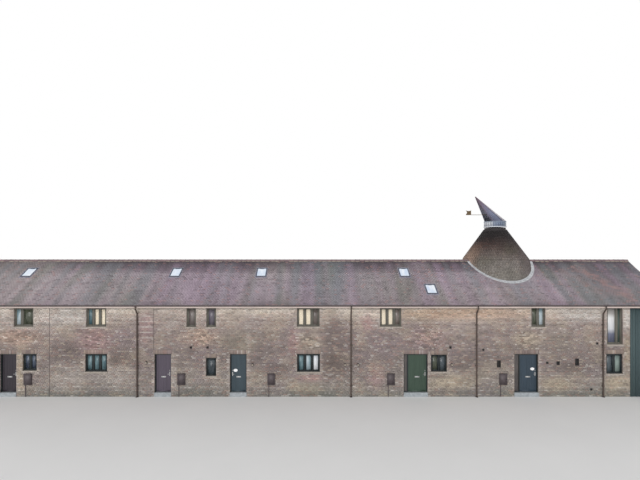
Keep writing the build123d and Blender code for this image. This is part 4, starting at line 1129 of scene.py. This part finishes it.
def is_outside_kiln(mesh, polygon):
    """Whether a face of the drum or cone looks away from the kiln's axis."""
    across = (polygon.center.x - KILN_X) * polygon.normal.x
    return across + (polygon.center.y - KILN_Y) * polygon.normal.y > 0


slope_tiles("front_roof_tiles", -1)
slope_tiles("rear_roof_tiles", 1)
kiln_tiles()
ridge_tiles()
ridge_bedding()
kiln_flashing()
rooflight_trims()
for side in ("front", "rear"):
    for part in ("left", "kiln", "right"):
        dress(f"roof_{side}_{part}", UNDER_ROOF, MORTAR, second=is_verge)
for node in ("kiln_drum", "kiln_cone"):
    dress(node, LINING, UNDER_ROOF, second=is_outside_kiln)

# Windows, with the looks of their panes from left to right
LOWER_LOOKS = "navy navy teal teal teal slate teal pale white olive slate slate sage"
UPPER_LOOKS = "pale olive teal clear clear dusk violet clear clear brown clear clear brown olive pale banded green"
REAR_LOOKS = "slate teal slate dusk teal slate"


def panes(name, node, looks):
    """Sheets of glass in place of a CAD node's, each with the look named for it."""
    boxes, looks = islands(node), looks.split()
    corners = [box_corners(*zip(low, high)) for low, high in boxes]
    mesh = box_piece(name, corners, GLASS[looks[0]], "glass", replaces=(node,)).data
    names = sorted(set(looks))
    mesh.materials.clear()
    for look in names:
        mesh.materials.append(GLASS[look])
    index = np.repeat([names.index(looks[number % len(looks)]) for number in range(len(boxes))], 6)
    mesh.polygons.foreach_set("material_index", index.astype(np.int32))


def ring_boxes(box, inset, face, front, back):
    """Four members of a rectangular ring: how far in it starts, how wide it is, and its depth."""
    left, right, foot, top = rectangle(box)
    left, right, foot, top = left + inset, right - inset, foot + inset, top - inset
    between = (left + face, right - face)
    return np.concatenate([
        box_corners(x, (front, back), z)
        for x, z in (
            ((left, left + face), (foot, top)), ((right - face, right), (foot, top)),
            (between, (foot, foot + face)), (between, (top - face, top)),
        )
    ])


def sashes(name, node, material, side):
    """Sash, glazing bead and drip of each pane of a CAD node."""
    rows = []
    for low, high in islands(node):
        outer = low[1] if side < 0 else high[1]
        face = outer + side * SASH_PROUD
        rows.append(ring_boxes((low, high), SASH_GAP, SASH_FACE, *sorted((face, outer))))
        rows.append(ring_boxes((low, high), SASH_FACE + SASH_GAP, BEAD, *sorted((face - side * 0.006, outer))))
        drip = (low[0] + SASH_GAP, high[0] - SASH_GAP)
        rows.append(box_corners(drip, sorted((face, face + side * 0.012)), (low[2] + 0.004, low[2] + 0.016)))
    box_piece(name, rows, material, "window_paint")


def mastic():
    """Pointing between the brick reveals and the window frames."""
    rows = [ring_boxes(box, REVEAL_THICK, 0.008, box[0][1] - 0.003, box[0][1]) for box in FRAME_BOXES]
    box_piece("frame_pointing", rows, MASTIC, "window_paint")


panes("lower_front_panes", "lower_front_glass", LOWER_LOOKS)
panes("upper_front_panes", "upper_front_glass", UPPER_LOOKS)
panes("rear_panes", "rear_glass", REAR_LOOKS)
sashes("lower_front_sashes", "lower_front_glass", LOWER_FRAME, -1)
sashes("upper_front_sashes", "upper_front_glass", UPPER_FRAME, -1)
sashes("rear_sashes", "rear_glass", REAR_FRAME, 1)
mastic()
dress(
    "front_window_frames", LOWER_FRAME, UPPER_FRAME, second=lambda mesh, polygon: polygon.center.z > UPSTAIRS_FOOT
)


# Doors
def door_trims(number, low, high):
    """Weatherboard, lock and letter flap of one leaf, riding on it, and its plate if it has one."""
    body, face = f"door_{number}", low.y
    left, right = low.x + WEATHERBOARD_INSET, high.x - WEATHERBOARD_INSET
    middle, half = (left + right) / 2, (right - left) / 2
    halves = ((half, WEATHERBOARD_DEEP), (half, WEATHERBOARD_TOP))
    board = tapered((middle, face - WEATHERBOARD_DEEP), (low.z + 0.03, low.z + 0.10), halves)
    board[4:, 1] += WEATHERBOARD_DEEP - WEATHERBOARD_TOP
    drip = box_corners((left, right), (face - 2 * WEATHERBOARD_DEEP, face), (low.z + 0.02, low.z + 0.03))
    box_piece(f"{body}_weatherboard", [board, drip], DOOR_PAINTS[number - 1], "door_paint", body=body)
    flap = box_corners(around(middle, LETTER_FLAP_HALF), (face - 0.013, face - 0.008), (1.036, 1.084))
    lip = box_corners(around(middle, LETTER_FLAP_HALF), (face - 0.017, face - 0.013), (1.036, 1.042))
    box_piece(f"{body}_letter_flap", [flap, lip], FITTINGS, "fittings", body=body)
    lock_x = low.x + LOCK_INSET if number == RIGHT_HUNG_DOOR else high.x - LOCK_INSET
    profile = ((0.022, 0), (0.022, 0.004), (0.018, 0.008), (0.009, 0.008), (0.008, 0.012), (0, 0.012))
    grid_piece(f"{body}_lock", [facing((lock_x, LOCK_HEIGHT), face, profile)], FITTINGS, "fittings", body=body)
    if number in PLATED_DOORS:
        across, height = PLATED_DOORS[number]
        rim = ((1, 0), (1, 0.006), (0.94, 0.010), (0.88, 0.007), (0, 0.007))
        plate = facing((low.x + across, height), face, rim, PLATE_SIZE, 40)
        grid_piece(f"{body}_plate", [plate], PLATE_PAINT, "fittings", body=body)


for number, paint in enumerate(DOOR_PAINTS, start=1):
    dress(f"door_leaf_{number}", paint)
    dress(f"door_furniture_{number}", FITTINGS)
    door_trims(number, *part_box(f"door_leaf_{number}"))

# Things fixed to the front
GUTTER_LOW, GUTTER_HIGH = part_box("gutters")
GUTTER_Y = -GUTTER_LOW.y - GUTTER_RADIUS
GUTTER_RIM = GUTTER_HIGH.z
PIPE_XS = sorted({round((low[0] + high[0]) / 2, 3) for low, high in islands("downpipes")})
PIPE_PLACES = [(x, side * (REAR + PIPE_OFF_WALL + PIPE_RADIUS)) for x in PIPE_XS for side in (-1, 1)]


def gutter_run(radius, thick, x_limits, side):
    """Grid of a length of half round gutter, two rows an end; side is -1 for the front, 1 for the rear."""
    down = np.linspace(math.pi, 2 * math.pi, 15)
    faces = ((radius, down), (radius - thick, down[::-1]))
    ring = [(r * math.cos(angle), r * math.sin(angle)) for r, angles in faces for angle in angles]
    return [
        [(x, side * (GUTTER_Y - across), GUTTER_RIM + up) for across, up in ring[::-side]]
        for x in np.repeat(x_limits, 2)
    ]


def gutters():
    """Half round gutters in lengths with unions, and brackets that hold them to the fascias."""
    start, end = GUTTER_LOW.x, GUTTER_HIGH.x
    lengths = np.linspace(start, end, GUTTER_LENGTHS + 1)
    places = np.linspace(start + 0.2, end - 0.2, GUTTER_BRACKETS)
    caps = np.array([(start, start + 0.006), (end - 0.006, end)]).T
    outer = GUTTER_RADIUS - 0.003
    runs, clips, straps = [], [], []
    for side in (-1, 1):
        runs += [gutter_run(outer, 0.004, pair, side) for pair in zip(lengths, lengths[1:])]
        clips += [gutter_run(GUTTER_RADIUS, 0.006, around(x, 0.035), side) for x in lengths[1:-1]]
        clips += [gutter_run(GUTTER_RADIUS - 0.001, 0.004, around(x, 0.012), side) for x in places]
        back = around(side * (GUTTER_Y - GUTTER_RADIUS), 0.004)
        straps.append(box_corners(around(places, 0.012), back, (GUTTER_RIM - 0.07, GUTTER_RIM - 0.004)))
        for step in range(GUTTER_CAP_STEPS):
            above, below = step / GUTTER_CAP_STEPS, (step + 1) / GUTTER_CAP_STEPS
            half = outer * math.cos(math.asin((above + below) / 2))
            z = (GUTTER_RIM - below * outer, GUTTER_RIM - above * outer)
            straps.append(box_corners(caps, around(side * GUTTER_Y, half), z))
    grid_piece("gutter_runs", runs, GUTTER_PAINT, "black_metal", replaces=("gutters",))
    grid_piece("gutter_unions", clips, GUTTER_PAINT, "black_metal")
    box_piece("gutter_straps", straps, GUTTER_PAINT, "black_metal")


def pipe_sockets():
    """Sockets along the downpipes with a bead at each mouth, and the rims of the gullies at their feet."""
    socket = ((0, 0), (0.007, 0.004), (0.007, 0.065), (0.010, 0.068), (0.010, 0.082), (0, 0.086))
    grids = [turned(place, socket, radius=PIPE_RADIUS, foot=foot) for place in PIPE_PLACES for foot in (1.55, 3.3)]
    grid_piece("pipe_sockets", grids, PIPE_PAINT, "black_metal")
    boot = ((0.062, 0), (0.070, 0.004), (0.070, 0.028), (0.062, 0.036), (0.050, 0.036), (0.046, 0.010))
    grid_piece("pipe_boots", [turned(place, boot) for place in PIPE_PLACES], CURB_PAINT, "black_metal")


# Upright blocks of a lantern: heights of foot and top, half width and depth at the foot and at the top
LANTERN_FOOT = (
    ((0, 0.016), ((0.016, 0.016), (0.030, 0.026))),
    ((0.016, 0.03), ((0.034, 0.030), (0.034, 0.030))),
)
LANTERN_BAR = ((0.03, 0.125), ((0.003, 0.003), (0.003, 0.003)))
LANTERN_GLASS = ((0.03, 0.125), ((0.029, 0.025), (0.042, 0.036)))
LANTERN_CAP = (
    ((0.125, 0.133), ((0.053, 0.044), (0.053, 0.044))),
    ((0.133, 0.168), ((0.050, 0.042), (0.016, 0.014))),
    ((0.168, 0.188), ((0.010, 0.010), (0.005, 0.005))),
)


def lanterns():
    """Small wall lanterns: back plate, foot, glass with corner bars, and a stepped cap."""
    metal, glass = [], []
    for low, high in islands("wall_lamps"):
        x, y, foot, wall = (low[0] + high[0]) / 2, low[1] + 0.046, low[2], high[1]

        def block(heights, halves):
            return tapered((x, y), np.add(heights, foot), halves)

        metal.append(box_corners(around(x, 0.03), (wall - 0.008, wall), (foot + 0.02, foot + 0.17)))
        metal.append(box_corners(around(x, 0.008), (y, wall), (foot + 0.012, foot + 0.026)))
        metal += [block(*row) for row in LANTERN_FOOT]
        glass.append(block(*LANTERN_GLASS))
        for across, deep in ((-1, -1), (-1, 1), (1, -1), (1, 1)):
            bar = block(*LANTERN_BAR)
            bar[:4] += (across * 0.030, deep * 0.026, 0)
            bar[4:] += (across * 0.043, deep * 0.037, 0)
            metal.append(bar)
        metal += [block(*row) for row in LANTERN_CAP]
    box_piece("lantern_metal", metal, LAMP_METAL, "black_metal", replaces=("wall_lamps",))
    box_piece("lantern_glass", glass, GLASS["lantern"], "glass")


ROUND_VENT_WIDTH = 0.13
VENT_RIM = 0.014
ROUND_GRILLE = (
    (0.065, 0), (0.065, 0.013), (0.057, 0.013), (0.056, 0.006), (0.045, 0.006), (0.044, 0.011), (0.034, 0.011),
    (0.033, 0.006), (0.022, 0.006), (0.021, 0.011), (0.012, 0.011), (0, 0.011),
)


def vents():
    """Louvred vents on the wall and one round grille."""
    rows, grilles = [], []
    for low, high in VENT_BOXES:
        left, right, foot, top = rectangle((low, high))
        if abs(right - left - ROUND_VENT_WIDTH) < 1e-3:
            grilles.append(facing(((left + right) / 2, (foot + top) / 2), FRONT, ROUND_GRILLE))
            continue
        rows.append(ring_boxes((low, high), 0, VENT_RIM, FRONT - 0.014, FRONT))
        opening = top - foot - 2 * VENT_RIM
        count = round(opening / 0.022)
        feet = foot + VENT_RIM + np.arange(count) * opening / count
        blades = box_corners((left + VENT_RIM, right - VENT_RIM), (FRONT - 0.011, FRONT - 0.006), (feet, feet + 0.018))
        blades[:, 4:, 1] += 0.006
        rows += [blades, box_corners((left + 0.01, right - 0.01), (FRONT - 0.001, FRONT), (foot + 0.01, top - 0.01))]
    box_piece("vent_louvres", rows, BLACK_METAL, "meter_plastic", replaces=("wall_vents",))
    grid_piece("round_grille", grilles, BLACK_METAL, "meter_plastic")


def meter_cupboards():
    """Doors, drip hoods, hinges and locks of the meter cupboards."""
    rows, locks = [], []
    for low, high in islands("meter_boxes"):
        face, left, right, top = low[1], low[0], high[0], high[2]
        foot = top - 0.61
        door_low, door_high = (left + 0.022, 0, foot + 0.022), (right - 0.022, 0, top - 0.03)
        rows += [
            ring_boxes(((left, 0, foot), (right, 0, top)), 0, 0.016, face - 0.004, face),
            box_corners((door_low[0], door_high[0]), (face - 0.007, face), (door_low[2], door_high[2])),
            ring_boxes((door_low, door_high), 0.018, 0.006, face - 0.010, face - 0.007),
            box_corners((left - 0.008, right + 0.008), (face - 0.022, face + 0.07), (top - 0.004, top + 0.012)),
        ]
        for z in (foot + 0.12, top - 0.16):
            rows.append(box_corners((left + 0.008, left + 0.026), (face - 0.012, face - 0.002), (z, z + 0.05)))
        profile = ((0.018, 0.006), (0.018, 0.011), (0.012, 0.013), (0, 0.013))
        locks.append(facing((right - 0.055, (foot + top) / 2), face, profile))
    box_piece("meter_doors", rows, METER_PLASTIC, "meter_plastic")
    grid_piece("meter_locks", locks, BLACK_METAL, "black_metal")


def end_boards():
    """Upright dark boards over the right end, with a gap between neighbours."""
    count, gap = 16, 0.004
    left, right, foot, top = BOARDING_LOW.x, BOARDING_HIGH.x, BOARDING_LOW.z, BOARDING_HIGH.z
    starts, width = np.linspace(left, right, count, endpoint=False, retstep=True)
    fronts = BOARDING_LOW.y + 0.007 * (np.arange(count) % 2) + rng.uniform(0, 0.003, count)
    boards = box_corners((starts + gap, starts + width - gap), (fronts, FRONT), (foot + 0.01, top))
    backing = box_corners((left, right), (FRONT - 0.006, FRONT), (foot, top))
    box_piece("end_boards", [boards, backing], DARK_BOARDS, "dark_boards", replaces=("end_boarding",))


gutters()
pipe_sockets()
lanterns()
vents()
meter_cupboards()
end_boards()

# Cowl, with its colours by the angle from the right, turning towards the rear, as painted shade on the side towards
# the viewer and painted light on the right and rear
SHELL_LOW, SHELL_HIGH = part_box("cowl_shell")
COWL_POINTS = vertices("cowl_shell")
COWL_TIP_X = COWL_POINTS[COWL_POINTS[:, 2].argmax(), 0]
BEAD_RADIUS = SHELL_HIGH.x - KILN_X
RING_TOP = SHELL_LOW.z + COWL_RING_HEIGHT
COWL_RADIUS = radius_at("cowl_shell", RING_TOP)
# Board colours by angle for the ring and the leaning back: painted shade on the front and left, painted light on the
# right and rear, and on the back a painted highlight along the right edge beside a painted dark line.
RING_LIGHT_STOPS = colour_stops(
    (-math.pi, 196, 200, 208), (-2.4, 198, 202, 208), (-2.1, 136, 146, 166), (-math.pi / 2, 112, 124, 148),
    (-1.0, 118, 130, 146), (-0.6, 196, 200, 208), (0, 226, 228, 234), (1.2, 204, 208, 218), (math.pi, 196, 200, 208),
)
BACK_LIGHT_STOPS = colour_stops(
    (-2.4, 108, 96, 112), (-2.0, 120, 124, 148), (-math.pi / 2, 132, 138, 164), (-1.25, 104, 106, 128),
    (-1.05, 204, 198, 206), (-0.5, 236, 234, 238), (0.6, 234, 234, 238), (1.2, 190, 192, 206), (2.4, 150, 152, 172),
)


def cowl_board(start, end, foot, top):
    """One straight board between two angles; foot and top are (height, radius, centre)."""
    corners = []
    for rise in (0, COWL_BOARD_THICK):
        for angle, (z, radius, centre) in ((start, foot), (end, foot), (end, top), (start, top)):
            reach = max(radius - COWL_BOARD_THICK + rise, 0.004)
            corners.append((centre + reach * math.cos(angle), KILN_Y + reach * math.sin(angle), z))
    return corners


def cowl_boards():
    """Boards of the ring and of the leaning back, with the mouth left open."""
    ring = ((SHELL_LOW.z + 0.04, COWL_RADIUS, KILN_X), (RING_TOP, COWL_RADIUS, KILN_X))
    back = (ring[1], (SHELL_HIGH.z - 0.01, 0.03, COWL_TIP_X + 0.02))
    gap = 0.002 / COWL_RADIUS
    boards, colours = [], []
    for count, reach, levels, stops in (
        (COWL_RING_BOARDS, math.pi, ring, RING_LIGHT_STOPS),
        (COWL_BACK_BOARDS, math.pi - MOUTH_HALF_ANGLE, back, BACK_LIGHT_STOPS),
    ):
        edges = np.linspace(-reach, reach, count + 1)
        boards += [cowl_board(start + gap, end - gap, *levels) for start, end in zip(edges, edges[1:])]
        colours.append(by_height((edges[:-1] + edges[1:]) / 2, stops) * rng.uniform(0.95, 1.05, (count, 1)))
    box_piece(
        "cowl_boards", boards, COWL_PAINT, "cowl_paint", np.concatenate(colours), body="cowl", replaces=("cowl_shell",)
    )


def cowl_hoops():
    """Heavy bead round the foot of the cowl, a flat hoop round its ring, and lead below the curb."""
    inner, outer, hoop = COWL_RADIUS - 0.02, BEAD_RADIUS, COWL_RADIUS + 0.008
    bead_profile = (
        (inner, 0), (outer - 0.006, 0), (outer, 0.010), (outer, 0.045), (outer - 0.006, 0.055), (inner, 0.055),
    )
    hoop_profile = ((inner, -0.045), (hoop - 0.002, -0.045), (hoop, -0.038), (hoop, -0.006), (inner, 0))
    for name, profile, foot, colour in (
        ("cowl_bead", bead_profile, SHELL_LOW.z, shade(214, 218, 226)),
        ("cowl_hoop", hoop_profile, RING_TOP, shade(140, 152, 168)),
    ):
        grids = [turned((KILN_X, KILN_Y), profile, KILN_SEGMENTS, foot=foot)]
        grid_piece(name, grids, COWL_PAINT, "cowl_paint", colours=[colour], body="cowl")
    lead = ((0.062, -0.075), (0.024, 0.006), (-0.04, 0.016))
    grids = [turned((KILN_X, KILN_Y), lead, KILN_SEGMENTS, CONE_TOP_RADIUS, CONE_HIGH.z)]
    grid_piece("curb_lead", grids, CURB_PAINT, "lead")


cowl_boards()
cowl_hoops()

for material, nodes in (
    (FLOOR_BOARDS, ("ground_floor",)),
    (SILL_STONE, ("front_window_sills", "rear_window_sills")),
    (ROOFLIGHT_METAL, ("rooflight_frames",)),
    (ROOFLIGHT_GLASS, ("rooflight_glass",)),
    (REAR_FRAME, ("rear_window_frames",)),
    (BLIND, ("window_blinds",)),
    (LOWER_FRAME, ("door_frames",)),
    (GLASS["umber"], ("door_side_lights",)),
    (STONE, ("door_thresholds",)),
    (FITTINGS, ("door_frame_hinges",)),
    (METER_PLASTIC, ("meter_boxes",)),
    (FASCIA_PAINT, ("fascias",)),
    (PIPE_PAINT, ("downpipes",)),
    (CURB_PAINT, ("cowl_curb",)),
    (BEAM, ("cowl_foot_beam",)),
    (IRON, ("cowl_spindle",)),
    (VANE_PAINT, ("cowl_vane",)),
):
    for node in nodes:
        dress(node, material)


# Stage
def floor():
    """Plain pale floor that the range stands on."""
    finish = Finish("floor", 0.9)
    mesh = bpy.data.meshes.new("floor")
    corners = [(x * FLOOR_HALF, y * FLOOR_HALF, 0) for x, y in ((-1, -1), (1, -1), (1, 1), (-1, 1))]
    mesh.from_pydata(corners, [], [(0, 1, 2, 3)])
    mesh.materials.append(finish.done(finish.mix(finish.noise(0.4), *shades((226, 226, 226), (232, 232, 232)))))
    placed("floor", mesh)


def world():
    """White background, with a softer light on the object itself."""
    sky = bpy.data.worlds.new("studio")
    bpy.context.scene.world = sky
    sky.use_nodes = True
    nodes, links = sky.node_tree.nodes, sky.node_tree.links
    background = nodes["Background"]
    background.inputs["Color"].default_value = (1, 1, 1, 1)
    path = nodes.new("ShaderNodeLightPath")
    shown = path.outputs["Is Camera Ray"]
    for ray in ("Is Glossy Ray", "Is Transmission Ray"):
        either = nodes.new("ShaderNodeMath")
        either.operation = "MAXIMUM"
        links.new(shown, either.inputs[0])
        links.new(path.outputs[ray], either.inputs[1])
        shown = either.outputs[0]
    strength = nodes.new("ShaderNodeMapRange")
    strength.inputs["To Min"].default_value = WORLD_STRENGTH
    strength.inputs["To Max"].default_value = 1.0
    links.new(shown, strength.inputs["Value"])
    links.new(strength.outputs["Result"], background.inputs["Strength"])


def sun(name, strength, tilt, heading, size):
    """Broad soft sun; tilt is from straight down, heading turns it round the upright axis."""
    light = bpy.data.lights.new(name, "SUN")
    light.energy, light.angle = strength, math.radians(size)
    placed(name, light).rotation_euler = (math.radians(tilt), 0, math.radians(heading))


def camera():
    """Camera at the photograph's viewing angle."""
    data = bpy.data.cameras.new("camera")
    data.lens, data.sensor_width, data.clip_end = CAMERA_LENS, CAMERA_SENSOR, CAMERA_REACH
    data.shift_x = VANISHING_LEFT_OF_MIDDLE / PHOTO_WIDTH
    data.shift_y = HORIZON_BELOW_MIDDLE / PHOTO_WIDTH
    eye = placed("camera", data)
    eye.location = CAMERA_PLACE
    eye.rotation_euler = (math.pi / 2, 0, 0)
    bpy.context.scene.camera = eye


floor()
world()
sun("key", KEY_STRENGTH, tilt=66, heading=-20, size=45)
sun("fill", FILL_STRENGTH, tilt=60, heading=150, size=40)
camera()
bpy.context.scene.view_settings.view_transform = "Standard"
